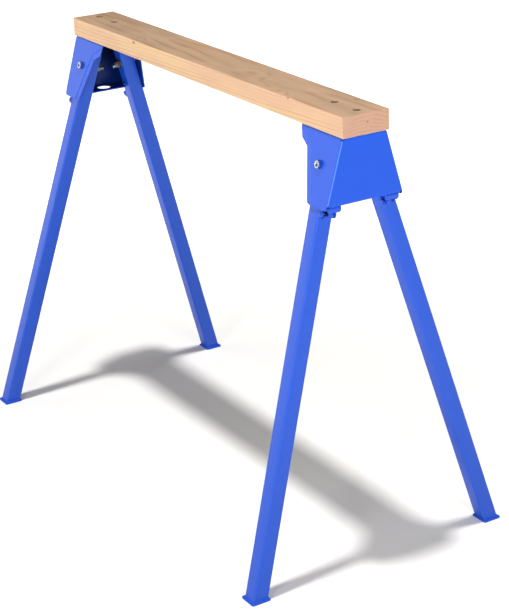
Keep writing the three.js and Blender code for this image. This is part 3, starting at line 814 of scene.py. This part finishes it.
# %% The lip
def lip_parts(lines_y):
    """A grid with openings left out, a polar grid round the hanging hole and two rounded corners.

    The polar grid passes from the hole's circle to the square that meets the grid's own lines.
    """
    middle, hole = HANG_HOLE
    field, round_off = HANG_HOLE_FIELD, LIP_CORNER
    notch = -LIP_STEP - middle
    steps = np.array([
        field, 13.04, 9.81, 6.0, 2.8, 0, notch, notch - round_off, -9.81, -13.04, -field
    ])
    lines_x = np.array([
        -BEND, SLOT_X[1], *(middle + steps), round_off - LIP_DEPTH, -LIP_DEPTH
    ])
    points = np.zeros((len(lines_x), len(lines_y), 3))
    points[..., 0] = lines_x[:, None]
    points[..., 1] = lines_y
    x = (lines_x[1:] + lines_x[:-1])[:, None] / 2
    y = (lines_y[1:] + lines_y[:-1]) / 2
    in_hole = (np.abs(x - middle) < field) & (y < field)
    in_slot = (x > SLOT_X[0]) & (x < SLOT_X[1]) & (y > SLOT_Y[0]) & (y < SLOT_Y[1])
    beyond = (x < -LIP_STEP) & (y > LIP_NARROW)
    in_corner = (x < round_off - LIP_DEPTH) & (y > LIP_NARROW - round_off)
    grid = sheet(points, ~(in_hole | in_slot | beyond | in_corner))

    side = lines_y[lines_y <= field + 0.01]
    rim = np.concatenate([
        stacked(field, side), stacked(steps[1:-1], field), stacked(-field, side[::-1])
    ])
    inner = hole * unit(rim)
    share = np.array([0, 0.25, 0.6, 1])[:, None, None]
    around = inner + share * (rim - inner) + (middle, 0)
    around = stacked(around[..., 0], around[..., 1], 0)

    arc = polar(round_off, np.linspace(0, np.pi / 2, 8), 0)
    outer_middle = np.array([round_off - LIP_DEPTH, LIP_NARROW - round_off, 0])
    inside_corner = np.array([-LIP_STEP, LIP_NARROW, 0])
    fillet_arc = inside_corner + (-round_off, round_off, 0) + arc * (1, -1, 1)
    fans = [
        sheet(np.stack([np.broadcast_to(point, arc.shape), edge]))
        for point, edge in (
            (outer_middle, outer_middle + arc * (-1, 1, 1)), (inside_corner, fillet_arc)
        )
    ]
    return [(part + (0, 0, -END_HEIGHT), quads) for part, quads in (grid, sheet(around), *fans)]


print("the hanging hole is", 2 * HANG_HOLE[1], "mm wide")

# %% The folded sheet
def half_bracket():
    """Flat grids and quarter folds that share their edge points, from the middle to one side."""
    step_y = HANG_HOLE_FIELD * np.tan(np.arange(7) * np.pi / 24)
    narrow = LIP_NARROW + LIP_CORNER * np.array([-1, 0, 1])
    lines_y = np.concatenate([step_y, [26], narrow, SLOT_Y, [67.67, 69.4]])
    share = np.append(lines_y / edge_half(BEND - END_HEIGHT), 1)
    fold_top = fold_reach * math.tan(splay) + BEND / math.cos(splay)
    heights = -np.concatenate([
        [BEND, NOTCH, 6.4], np.arange(8, 44, 0.75), np.linspace(46, END_HEIGHT - BEND, 12)
    ])

    end_plate = np.zeros((len(heights), len(share), 3))
    end_plate[..., 1] = share * edge_half(heights)[:, None]
    end_plate[..., 2] = heights[:, None]
    keep = every_cell(end_plate)
    keep[0, -2:] = False

    seam = slope_at(heights[1:])
    centre = -BEND * along_x + fold_reach * flange_out + seam[:, None] * flange_down
    low = FLANGE_LENGTH + beam_line
    foot_share = np.sin(np.linspace(0, 1.35, 14)[1:]) / math.sin(1.35)
    foot_rows = seam[-1] + (low - seam[-1]) * foot_share
    flange = flange_points(np.concatenate([[fold_top], seam, foot_rows]))
    keep_flange = every_cell(flange)
    keep_flange[0, 0] = False

    top = np.zeros((flange.shape[1], len(share), 3))
    top[..., 0] = flange[0, :, :1]
    top[..., 1] = share * edge_half(-BEND)
    keep_top = every_cell(top)
    keep_top[0, -2:] = False
    top_fold = fold(flange[0] - BEND * flange_out, along_y, along_z, splay)
    end_fold = fold(end_plate[0, :-2] - BEND * along_x, along_x, along_z)
    lip_fold = fold(end_plate[-1, :-1] - BEND * along_x, along_x, -along_z)
    lip = lip_parts(share[:-1] * edge_half(BEND - END_HEIGHT))
    return joined(
        facing(along_x, sheet(end_plate, keep)),
        facing(along_x + flange_out, sheet(fold(centre, along_x, flange_out))),
        facing(flange_out, sheet(flange, keep_flange)),
        facing(along_y + along_z, sheet(top_fold)),
        facing(along_z, sheet(top, keep_top)),
        facing(along_x + along_z, sheet(end_fold)),
        facing(along_x - along_z, sheet(lip_fold)),
        *(facing(-along_z, part) for part in lip),
    )


def corner_lump():
    """A dab of weld: a ball, r = radius (1 + 0.07 sin 3a sin 2b), where a and b are its angles."""
    a = np.arange(20) * np.pi / 10
    b = np.linspace(0, np.pi, 12)[:, None]
    r = LUMP * (1 + 0.07 * np.sin(3 * a) * np.sin(2 * b))
    return sheet(polar(r * np.sin(b), a, -r * np.cos(b)) + LUMP_PLACE, around=True)


def mark_fold_highlight(mesh, origin, end):
    """Painted highlight: 1 on the middle line of the end plate's folds, easing to 0 at its half
    width on either side.
    """
    points = np.zeros(len(mesh.vertices) * 3)
    mesh.vertices.foreach_get("co", points)
    x, y, z = (points.reshape(-1, 3) / MM - origin).T * np.array([end, 1, 1])[:, None]
    out = np.abs(y) * flange_out[1] + z * flange_out[2] - fold_reach
    ridge = BEND * math.sqrt(0.5)
    away = np.hypot(x + BEND - ridge, out - ridge) / HIGHLIGHT_WIDE
    fold_highlight = (1 - away.clip(0, 1) ** 2).astype(np.float32)
    mesh.attributes.new("fold_highlight", "FLOAT", "POINT").data.foreach_set("value", fold_highlight)


for end_name, end in (("left", -1), ("right", 1)):
    low, high = box_mm(f"bracket_{end_name}")
    origin = np.array([end * max(abs(low[0]), abs(high[0])), 0, underside])
    half, lump = half_bracket(), corner_lump()
    name = f"folded_bracket_{end_name}"
    place = (origin, np.diag([end, 1.0, 1.0]))
    bracket = piece(
        name, joined(half, mirrored(half)), place, bracket_coat, "frame", "bracket_paint",
        [f"bracket_{end_name}"], crease=60, weld=0.02,
    )
    mark_fold_highlight(bracket.data, origin, end)
    thickened(bracket, SHEET, 0.35)
    print(name, made[name], "faces and open edges before thickening")
    piece(
        f"corner_weld_{end_name}", joined(lump, mirrored(lump)), place, bracket_coat, "frame",
        "bracket_paint",
    )

# %% [markdown]
# ## Fasteners
# Bolts and nuts are forged and cut: a hexagon whose corners are chamfered by a cone, a round
# washer face, and a thread that is a helix rolled into the shank. All are turned shapes, and the
# thread is the same grid with its radius following a wave that climbs as it goes round.

# %% Thread and bolt shapes
CONE, TIP = math.tan(math.radians(30)), 0.7


def threaded(surface, radius, pitch, low, high):
    """Cuts a thread between two heights: the radius loses a wave of (height / pitch - angle).

    The groove is some 0.61 of the pitch deep, and it fades in over a third of a pitch.
    """
    points, faces = surface
    x, y, z = points.T
    turn = np.arctan2(y, x) / (2 * np.pi)
    fade = (np.minimum(z - low, high - z) / (pitch / 3)).clip(0, 1)
    reach = np.hypot(x, y)
    on_shank = (reach > 0.8 * radius) & (reach < 1.05 * radius)
    wave = 0.5 + 0.5 * np.cos(2 * np.pi * (z / pitch - turn))
    shrink = 1 - 0.61 * pitch / radius * wave * fade * on_shank
    return stacked(x * shrink, y * shrink, z), faces


def shank_rows(radius, low, thread_top, high, pitch):
    """Profile rows from a chamfered tip up a shank, eight to each turn of the thread."""
    count = int(8 * (thread_top - low - TIP) / pitch)
    rows = [(0, low), (radius - TIP, low), (radius, low + TIP)]
    rows += [(radius, z) for z in np.linspace(low + TIP, thread_top, count)[1:]]
    return rows + [(radius, high)]


def along_bolt(surface):
    """Stands a turned shape's z axis along the corner's outward axis: (x, y, z) to (x, z, -y)."""
    points, faces = surface
    return points[:, [0, 2, 1]] * (1, 1, -1), faces


print("a chamfer drops", round(CONE, 2), "mm for each mm outwards")

# %% Pivot bolts, nuts, washers and sleeves
# Still parts lie SEAT apart, so that they never share a face, and turning parts TURN.
LEG_HALF, SEAT, TURN = 14.3, 0.3, 0.3
THRUST, THRUST_RADIUS = 1.0, 11.5
PLAIN, PLAIN_RADIUS = 1.6, 10.5
FLANGE_OUT = LEG_HALF + TURN + THRUST + SEAT + SHEET
SLEEVE_RADIUS = 6.0
PIVOT_FLATS, PIVOT_HEAD, PIVOT_RADIUS, PIVOT_PITCH = 13.0, 5.3, 4.0, 1.25
DISH = 1.9
NUT_WASHER_OUT = -LEG_HALF - TURN - SEAT
NUT_OUT = NUT_WASHER_OUT - PLAIN - SEAT
NUT_COLLAR, NUT_HEIGHT, THREAD_OUT = 2.0, 6.0, 6.5
NUT_IN = NUT_OUT - NUT_HEIGHT - NUT_COLLAR
hex_corner, seat_radius = PIVOT_FLATS / math.sqrt(3), 0.46 * PIVOT_FLATS


def pivot_bolt():
    """Shank, washer face and chamfered hexagon, whose top is dished as the radius squared."""
    head = FLANGE_OUT + SEAT
    top, tip = head + PIVOT_HEAD, NUT_IN - THREAD_OUT
    face = seat_radius
    rows = shank_rows(PIVOT_RADIUS, tip, NUT_OUT + 2, head, PIVOT_PITCH) + [
        (face, head), (face + 0.05, head + 0.35), (hex_corner - 0.15, head + 0.45, 1),
        (hex_corner, head + 0.6, 1), (hex_corner, top - 0.25, 1, CONE),
        (hex_corner - 0.35, top - 0.06, 1, CONE), (face, top, 0.1), (0.8 * face, top, 0.05),
    ] + [(k * 0.72 * face, top - DISH * (1 - k**2)) for k in (1, 0.9, 0.75, 0.55, 0.3, 0)]
    return threaded(turned(rows, 96), PIVOT_RADIUS, PIVOT_PITCH, tip + TIP, NUT_OUT)


def pivot_nut():
    """A hexagon chamfered at its seat, with a round collar that is rolled over a nylon ring."""
    low, collar = NUT_IN, NUT_IN + NUT_COLLAR
    bore = PIVOT_RADIUS + 0.1
    return turned([
        (bore + 0.9, low + 0.35), (bore + 1.0, low), (5.0, low), (5.6, low + 0.3),
        (5.8, low + 0.9), (5.8, collar), (hex_corner - 0.7, collar + 0.1, 1, -CONE),
        (hex_corner, collar + 0.45, 1, -CONE), (hex_corner, NUT_OUT - 0.25, 1, CONE),
        (seat_radius, NUT_OUT, 0.1), (bore + 0.3, NUT_OUT), (bore, NUT_OUT - 0.4),
        (bore, low + 1.7), (bore + 0.9, low + 1.7),
    ], 72, closed=True)


bore = PIVOT_RADIUS + 0.2
leg_in, leg_out = -LEG_HALF - TURN, LEG_HALF + TURN
# Everything on one pivot bolt: name, surface, finish, slot and frame piece.
pivot_set = [
    ("hex_bolt", pivot_bolt(), zinc, "pivot_fasteners", "pivot_bolt"),
    ("lock_nut", pivot_nut(), shade_darkened_steel, "pivot_fasteners", "pivot_nut"),
    ("lock_ring", ring(PIVOT_RADIUS + 0.95, PIVOT_RADIUS + 0.12, NUT_IN + 0.25, NUT_IN + 1.6),
     nylon, "thrust_washer", None),
    ("turning_sleeve", ring(SLEEVE_RADIUS, bore, leg_in, FLANGE_OUT - SHEET - SEAT),
     zinc, "pivot_fasteners", "pivot_sleeve"),
    ("thrust_washer", ring(THRUST_RADIUS, SLEEVE_RADIUS + TURN, leg_out, leg_out + THRUST),
     nylon, "thrust_washer", "leg_washer"),
    ("plain_washer", ring(PLAIN_RADIUS, bore, NUT_WASHER_OUT - PLAIN, NUT_WASHER_OUT, 0.2),
     shade_darkened_steel, "pivot_fasteners", "nut_washer"),
]
for corner in corners:
    for name, surface, finish, slot, node in pivot_set:
        corner_piece(corner, name, along_bolt(surface), "flange", finish, "frame", slot, node)
print("pivot bolt:", made["hex_bolt_rear_right"], "nut:", made["lock_nut_rear_right"])

# %% Beam bolts with their nuts
BOLT_RADIUS, BOLT_PITCH, KEY = 3.0, 1.0, 2.2
HEAD_RADIUS, HEAD_HEIGHT, KEY_DEPTH = 5.6, 3.4, 2.0
BEAM_WASHER, BEAM_WASHER_RADIUS = 1.4, 6.4
BEAM_NUT, BEAM_NUT_FLATS = 5.0, 10.0
WASHER_TOP = -SHEET - SEAT
BEAM_NUT_TOP = WASHER_TOP - BEAM_WASHER - SEAT
BEAM_NUT_LOW = BEAM_NUT_TOP - BEAM_NUT


def beam_bolt(head_low):
    """A low cap head with a hexagon key recess. Heights are from the beam's underside."""
    top, tip = head_low + HEAD_HEIGHT, BEAM_NUT_LOW - 3
    rows = shank_rows(BOLT_RADIUS, tip, BEAM_NUT_TOP, head_low, BOLT_PITCH) + [
        (HEAD_RADIUS - 0.2, head_low), (HEAD_RADIUS, head_low + 0.2), (HEAD_RADIUS, top - 0.9),
        (HEAD_RADIUS - 0.25, top - 0.35), (HEAD_RADIUS - 0.9, top), (KEY + 0.5, top),
        (KEY + 0.15, top - 0.05, 1), (KEY, top - 0.25, 1), (KEY, top - KEY_DEPTH, 1),
        (0, top - KEY_DEPTH - 0.5),
    ]
    return threaded(turned(rows, 72), BOLT_RADIUS, BOLT_PITCH, tip + TIP, BEAM_NUT_TOP)


def beam_nut():
    """A plain hexagon nut, chamfered on both faces."""
    corner, bore, face = BEAM_NUT_FLATS / math.sqrt(3), BOLT_RADIUS + 0.1, 4.6
    low, top = BEAM_NUT_LOW, BEAM_NUT_TOP
    return turned([
        (bore + 0.3, low), (face, low, 0.1), (corner, low + 0.2, 1, -CONE),
        (corner, top - 0.2, 1, CONE), (face, top, 0.1), (bore + 0.3, top), (bore, top - 0.35),
        (bore, low + 0.35),
    ], 72, closed=True)


beam_set = {
    "bolt": beam_bolt(beam_high[2] - underside - RECESS_DEPTH + SEAT),
    "washer": ring(BEAM_WASHER_RADIUS, BOLT_RADIUS + 0.4, WASHER_TOP - BEAM_WASHER, WASHER_TOP),
    "nut": beam_nut(),
}
for name, middle in bolt_middles.items():
    label = name.removeprefix("beam_bolt_")
    place = (np.array([middle[0], middle[1], underside]), np.eye(3))
    for kind, surface in beam_set.items():
        piece(
            f"cap_{kind}_{label}", surface, place, shade_darkened_steel, "frame", "beam_fasteners",
            [f"beam_{kind}_{label}"],
        )
print("beam bolt:", made["cap_bolt_left_outer"], "faces and open edges")

# %% [markdown]
# ## The legs
# Welded square tube, 28.6 mm over its faces with a 1.6 mm wall. Its four corners are rolled to a
# small radius, which is where its long bright lines come from. The foot of each tube is cut level
# with the floor, so every line of the tube ends where it meets that plane. Two lugs for the latch
# pin are welded on, a plate closes the foot, and a bead of weld runs round the joint.

# %% Tube
TUBE, WALL, TUBE_CORNER, TUBE_EASE, LEG_TOP = 2 * LEG_HALF, 1.6, 3.0, 0.35, 28.0
FOOT_THICKNESS = 3.0


def square(size, radius, steps=6):
    """A square outline with rounded corners."""
    h = size / 2
    return rounded([(h, -h, radius), (h, h, radius), (-h, h, radius), (-h, -h, radius)], steps)


def floor_height(place, x, y, level):
    """Where a line along the leg, at leg x and y, meets a level plane: solves world z for z."""
    origin, axes = place
    return (level - origin[2] - x * axes[0][2] - y * axes[1][2]) / axes[2][2]


def tube(place):
    """Outer wall down, inner wall up: row k of a wall runs from the top to the floor plane."""
    share = np.concatenate([[0, 0.0006], np.linspace(0.02, 0.98, 28), [0.9994, 1]])[:, None]
    ease = np.zeros((len(share), 1, 1))
    ease[[0, -1]] = TUBE_EASE
    walls = []
    for size, radius, flip in ((TUBE, TUBE_CORNER, 1), (TUBE - 2 * WALL, TUBE_CORNER - WALL, -1)):
        outline = square(size, radius)
        x, y = np.moveaxis(outline - flip * ease * unit(outline), -1, 0)
        z = LEG_TOP + share * (floor_height(place, x, y, FOOT_THICKNESS + SEAT) - LEG_TOP)
        walls.append(stacked(x, y, z)[::flip])
    return facing_out(sheet(np.concatenate(walls), around=True, closed=True))


print("tube:", TUBE, "mm square, with a wall of", WALL, "mm")

# %% Lugs, foot plates and weld
PIN_X, PIN_Z = LEG_HALF + 5.2, -75.996
LUG = 2.4
# The weld's radius, the gap between its rows, one dab's length and a slower unevenness.
BEAD, BEAD_GAP, DAB, UNEVEN = 1.35, 0.65, 2.6, 19.0


def lug(side):
    """A plate outline in the leg's xz plane, seen from the side, thickened along y."""
    base, tip = LEG_HALF - WALL / 2, PIN_X + 4
    outline = rounded([
        (base, PIN_Z - 6, 0.3), (tip, PIN_Z - 4, 4), (tip, PIN_Z + 4, 4), (base, PIN_Z + 6, 0.3)
    ], 8)
    low, high = (LEG_HALF - LUG, LEG_HALF) if side < 0 else (-LEG_HALF, LUG - LEG_HALF)
    points, faces = slab(outline * (1, -1), low, high, 0.35)
    return facing_out((points[:, [0, 2, 1]] * (1, -1, -1), faces))


def filled_loop(outline, gap):
    """A closed outline's points at even distances round it, interpolated along its length."""
    closed = np.vstack([outline, outline[:1]])
    run = np.append(0, np.cumsum(np.linalg.norm(np.diff(closed, axis=0), axis=1)))
    at = np.arange(0, run[-1], run[-1] / round(run[-1] / gap))
    return np.column_stack([np.interp(at, run, closed[:, k]) for k in (0, 1)])


def weld_bead(place):
    """A bead round the tube's foot that swells with each dab of the weld, and more slowly too."""
    loop = filled_loop(square(TUBE + 0.6, TUBE_CORNER + 0.3, 10), BEAD_GAP)
    z = floor_height(place, loop[:, 0], loop[:, 1], FOOT_THICKNESS + 0.5)
    path = np.column_stack([loop, z])
    ahead = unit(np.roll(path, -1, 0) - np.roll(path, 1, 0))
    side = unit(np.cross(along_z, ahead))
    turns = 2 * np.pi * np.arange(len(loop)) * BEAD_GAP
    swell = 1 + 0.16 * np.cos(turns / DAB) + 0.08 * np.sin(turns / UNEVEN)
    section = circle(BEAD, 10) * swell[:, None, None]
    return carried(path, side, np.cross(ahead, side), section, joined_ends=True)


for corner in corners:
    place, look = places[corner]["leg"], (leg_coat, f"leg_{corner}", "leg_paint")
    leg = joined(tube(place), lug(-1), lug(1))
    corner_piece(corner, "square_tube", leg, "leg", *look, "leg", crease=32)
    low, high = box_mm(f"foot_plate_{corner}")
    pad = slab(square(high[0] - low[0], 3.0), 0, FOOT_THICKNESS, 0.5)
    corner_piece(corner, "foot_pad", pad, "foot", *look, "foot_plate")
    corner_piece(corner, "foot_weld", weld_bead(place), "leg", *look, crease=80)
for kind in ("square_tube", "foot_pad", "foot_weld"):
    print(kind, made[f"{kind}_rear_right"], "faces and open edges")

# %% [markdown]
# ## Latches
# Each latch is one strip of plate: rolled into an eye round a pin, run up beside the leg, folded
# outboard under the lip and folded down again as a finger tab. The leg slopes and the lip is
# level, so the neck's lines and the tongue's lines differ. Each line across the strip is worked
# out in its own frame, and folds between them are curves pulled towards the sharp corner. A tooth
# stands up through the lip's slot. The pin is a rivet, painted with the leg. A torsion spring
# round it holds the tooth in the slot: one arm lies on the leg and the other on the latch.

# %% Strip of the latch
PLATE, FOLD = 2.5, 2.4
NECK_X, NECK_FOOT, EYE_MIDDLE = 20.4, PIN_Z + 4.1, 2.55
LIP_UNDER = -END_HEIGHT + underside - places["rear_right"]["level"][0][2]
LIP_GAP, TAB_REACH, TAB_DROP, TAB_HALF, TAB_CORNER = 0.8, 40.0, 10.2, 12.75, 4.0
TONGUE = LIP_UNDER - LIP_GAP - PLATE / 2
TAB_X, TAB_LOW = TAB_REACH - PLATE / 2, LIP_UNDER - LIP_GAP - TAB_DROP
TOOTH_HALF, TOOTH_IN, TOOTH_OUT = 5, 33.0, 35.5
leg_to_level = places["rear_right"]["leg"][1]
latch_middle = -(TONGUE + PLATE / 2) * math.tan(splay)
across_neck = np.array([-9.5, -6.2, -2.9, 0.5, 3.5, 6.5, 9.5])


def curved(start, corner, end, steps=7):
    """A fold: (1-t)^2 start + 2t(1-t) corner + t^2 end, for each line across the strip."""
    t = np.linspace(0, 1, steps)[:, None, None]
    return (1 - t) ** 2 * start + 2 * t * (1 - t) * corner + t * t * end


def latch_strip():
    """Rows along the strip, columns across it, in the level frame of the corner."""
    def in_leg(x, z, y=across_neck):
        """Points in the leg's own frame, moved into the level one."""
        return stacked(x, y, z) @ leg_to_level

    def bend(start, corner, end):
        """A fold that begins and ends a short way from its sharp corner."""
        start, end = (corner + FOLD * unit(point - corner) for point in (start, end))
        return curved(start, corner, end)

    x_rise, y_rise, z_rise = leg_to_level[:, 2]
    foot = in_leg(NECK_X, NECK_FOOT)
    neck_top = in_leg(NECK_X, (TONGUE - NECK_X * x_rise - across_neck * y_rise) / z_rise)
    width = across_neck / across_neck[-1] * TAB_HALF
    wide = stacked(neck_top[:, 0] + 4, latch_middle + width, TONGUE)
    tab_top = stacked(TAB_X, latch_middle + width, TONGUE)
    quarter = np.linspace(0, np.pi / 2, 8)[:, None]
    inset = 1 - TAB_CORNER * (1 - np.cos(quarter)) / TAB_HALF
    drop = TAB_LOW + TAB_CORNER * (1 - np.sin(quarter))
    tab = stacked(TAB_X, latch_middle + width * inset, drop)
    folds = bend(foot, neck_top, wide), wide[None], bend(wide, tab_top, tab[0])
    strip = np.concatenate([foot[None], *folds, tab])

    eye_y = across_neck[:4]
    roll = np.radians(np.linspace(-285, 0, 26))[:, None]
    eye = in_leg(PIN_X + EYE_MIDDLE * np.cos(roll), PIN_Z + EYE_MIDDLE * np.sin(roll), eye_y)
    knee = in_leg(PIN_X + EYE_MIDDLE - 0.25, PIN_Z + 1.7, eye_y)
    eye = np.concatenate([eye, curved(eye[-1], knee, foot[:4], 5)[1:]])
    return joined(facing(along_z, sheet(strip)), facing(-along_x, sheet(eye)))


def latch_tooth():
    """A block with rounded top corners that stands on the tongue and fills the slot's height."""
    half, low, top = TOOTH_HALF, TONGUE, LIP_UNDER + SHEET
    outline = rounded([(-half, low, 0.2), (half, low, 0.2), (half, top, 1.6), (-half, top, 1.6)])
    points, faces = slab(outline + (latch_middle, 0), TOOTH_IN, TOOTH_OUT)
    return points[:, [2, 0, 1]], faces


def latch_pin():
    """A rivet: its heads are domes with the height falling as the square of the radius."""
    seat, rim, dome, head, shank = LEG_HALF + SEAT, 0.35, 1.2, 3.2, 2.0
    crown = [
        (r, seat + rim + (dome - rim) * (1 - (r / head) ** 2)) for r in np.linspace(head, 0, 7)
    ]
    half = [(shank, seat), (head, seat), *crown]
    points, faces = along_bolt(turned([(r, -h) for r, h in half[::-1]] + half, 32))
    return points + (PIN_X, 0, PIN_Z), faces


print("the tongue lies", round(-TONGUE, 2), "mm below the pivot bolt")

# %% Torsion spring
WIRE, COIL, TURNS, PITCH, ARM = 1.1, 3.0, 3.125, 1.5, 9.0


def spring():
    """Down an arm, round the pin in a helix with radius COIL, and down the other arm."""
    full = 2 * math.pi * TURNS
    run = np.linspace(0, 2 * ARM + full * COIL, 260)
    angle = -((run - ARM) / COIL).clip(0, full)
    above = (ARM - run).clip(0, None)
    beyond = (run - ARM - full * COIL).clip(0, None)
    path = stacked(
        PIN_X + COIL * np.cos(angle) + beyond * np.sin(angle),
        across_neck[3] + WIRE - angle / full * TURNS * PITCH,
        PIN_Z + COIL * np.sin(angle) + above - beyond * np.cos(angle),
    )
    ahead = unit(np.gradient(path, axis=0))
    side = unit(along_y - ahead[:, 1:2] * ahead)
    return carried(path, side, np.cross(ahead, side), circle(WIRE / 2))


for corner in corners:
    leg_body, latch_body = f"leg_{corner}", f"latch_{corner}"
    look = (latch_coat, latch_body, "latch_paint")
    strip = corner_piece(corner, "latch_plate", latch_strip(), "level", *look, "latch", crease=60)
    thickened(strip, PLATE, 0.4, offset=0)
    corner_piece(corner, "latch_tooth", latch_tooth(), "level", *look)
    look = (leg_coat, leg_body, "leg_paint")
    corner_piece(corner, "latch_rivet", latch_pin(), "leg", *look, "latch_pin")
    look = (wire_steel, None, "spring_steel")
    coil = corner_piece(corner, "torsion_spring", spring(), "leg", *look, "latch_spring")
    origin, axes = places[corner]["leg"]
    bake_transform(coil)
print("latch:", made["latch_plate_rear_right"], "spring:", made["torsion_spring_rear_right"])

# %% [markdown]
# ## Camera, floor and light
# A long lens stands a little over three metres away, above and to the right. The floor is one
# pale sheet that glows in two steps: a wide one from near the feet, which keeps the ground white
# and the shadows soft, and a slow one far away, as a studio's curved backdrop does.

# %% Camera
scene = bpy.context.scene


def stood(thing, place, right, back):
    """Puts a thing in the scene, its x axis along right and its z axis along back."""
    turn = np.eye(4)
    turn[:3] = np.column_stack([right, np.cross(back, right), back, place])
    thing.matrix_world = Matrix(turn)
    scene.collection.objects.link(thing)


LENS_MM, SENSOR_MM, FAR_CLIP = 102.85, 36.0, 60.0
CAMERA_PLACE = (2.6257, -1.5367, 1.5229)
azimuth, elevation, roll = (math.radians(angle) for angle in (58.573, 21.752, -1.964))
long_lens = bpy.data.cameras.new("long_lens")
long_lens.lens, long_lens.sensor_width, long_lens.clip_end = LENS_MM, SENSOR_MM, FAR_CLIP
camera = bpy.data.objects.new("camera", long_lens)
level_right = np.array([math.cos(azimuth), math.sin(azimuth), 0])
level_back = np.array([math.sin(azimuth), -math.cos(azimuth), 0])
back = level_back * math.cos(elevation) + along_z * math.sin(elevation)
right = level_right * math.cos(roll) + np.cross(back, level_right) * math.sin(roll)
stood(camera, CAMERA_PLACE, right, back)
scene.camera = camera
print("camera", round(math.hypot(*CAMERA_PLACE), 2), "m from the middle of the floor")

# %% Floor
FLOOR_HALF = 20
sides = [(-1, -1), (1, -1), (1, 1), (-1, 1)]
floor_mesh = bpy.data.meshes.new("studio_floor")
floor_mesh.from_pydata([(x * FLOOR_HALF, y * FLOOR_HALF, 0) for x, y in sides], [], [(0, 1, 2, 3)])
floor = bpy.data.objects.new("studio_floor", floor_mesh)
floor.location.z = -0.0002
scene.collection.objects.link(floor)
floor_paint, tree, shader, where = new_finish("pale_floor")
far = add(tree, "VectorMath", [where], operation="LENGTH")
glow, horizon = (
    add(tree, "MapRange", [far, start, end, 0, strength], **SMOOTH)
    for start, end, strength in ((0.4, 2.1, 0.78), (2.2, 6.0, 0.35))
)
both = add(tree, "Math", [glow, horizon], operation="ADD")
feed(shader, {
    "Base Color": "#F8F6F2", "Roughness": 0.9, "Specular IOR Level": 0.2,
    "Emission Color": (1, 1, 1, 1), "Emission Strength": both,
})
floor_mesh.materials.append(floor_paint)
print("floor", 2 * FLOOR_HALF, "m wide")

# %% [markdown]
# Five boxes light it. The small key box hangs high over the middle and draws the soft shadow under
# the beam. Low boxes on the left and in front fill the side of the beam and the legs, a weak one
# on the right lifts the end plate, and one behind is there for views from behind. The air is
# nearly dark for the sawhorse, and white for the camera only, as a backdrop.

# %% Lights
def light_box(name, place, target, width, tall, power, shape="RECTANGLE"):
    """An area light that faces its target."""
    data = bpy.data.lights.new(name, "AREA")
    data.shape, data.size, data.size_y, data.energy = shape, width, tall, power
    box = bpy.data.objects.new(name, data)
    way = unit(np.array(place) - target)
    stood(box, place, unit(np.cross(along_z, way)), way)
    box.visible_camera = False


light_box("key_box", (0.1, -0.51, 5.3), (0, 0, 0), 0.36, 0.36, 215, "ELLIPSE")
light_box("right_box", (1.75, -0.1, 1.15), (0.4, 0, 0.55), 0.9, 0.9, 12)
light_box("left_box", (-3.6, -2.9, 1.1), (0, 0, 0.4), 3.0, 1.8, 42)
light_box("back_box", (-0.6, 4.0, 1.5), (0, 0, 0.5), 1.8, 1.2, 34)
light_box("front_box", (2.2, -3.3, 1.1), (0, 0, 0.55), 0.9, 0.9, 54)
world = bpy.data.worlds.new("studio_air")
world.use_nodes = True
tree = world.node_tree
tree.nodes.clear()
air, backdrop = (
    add(tree, "Background", {"Color": (1, 1, 1, 1), "Strength": strength})
    for strength in (0.08, 1.0)
)
seen = add(tree, "LightPath", {}).outputs["Is Camera Ray"]
add(tree, "OutputWorld", {"Surface": add(tree, "MixShader", [seen, air, backdrop])})
scene.world = world
scene.view_settings.view_transform = "Standard"
print(len(bpy.data.lights), "lights")
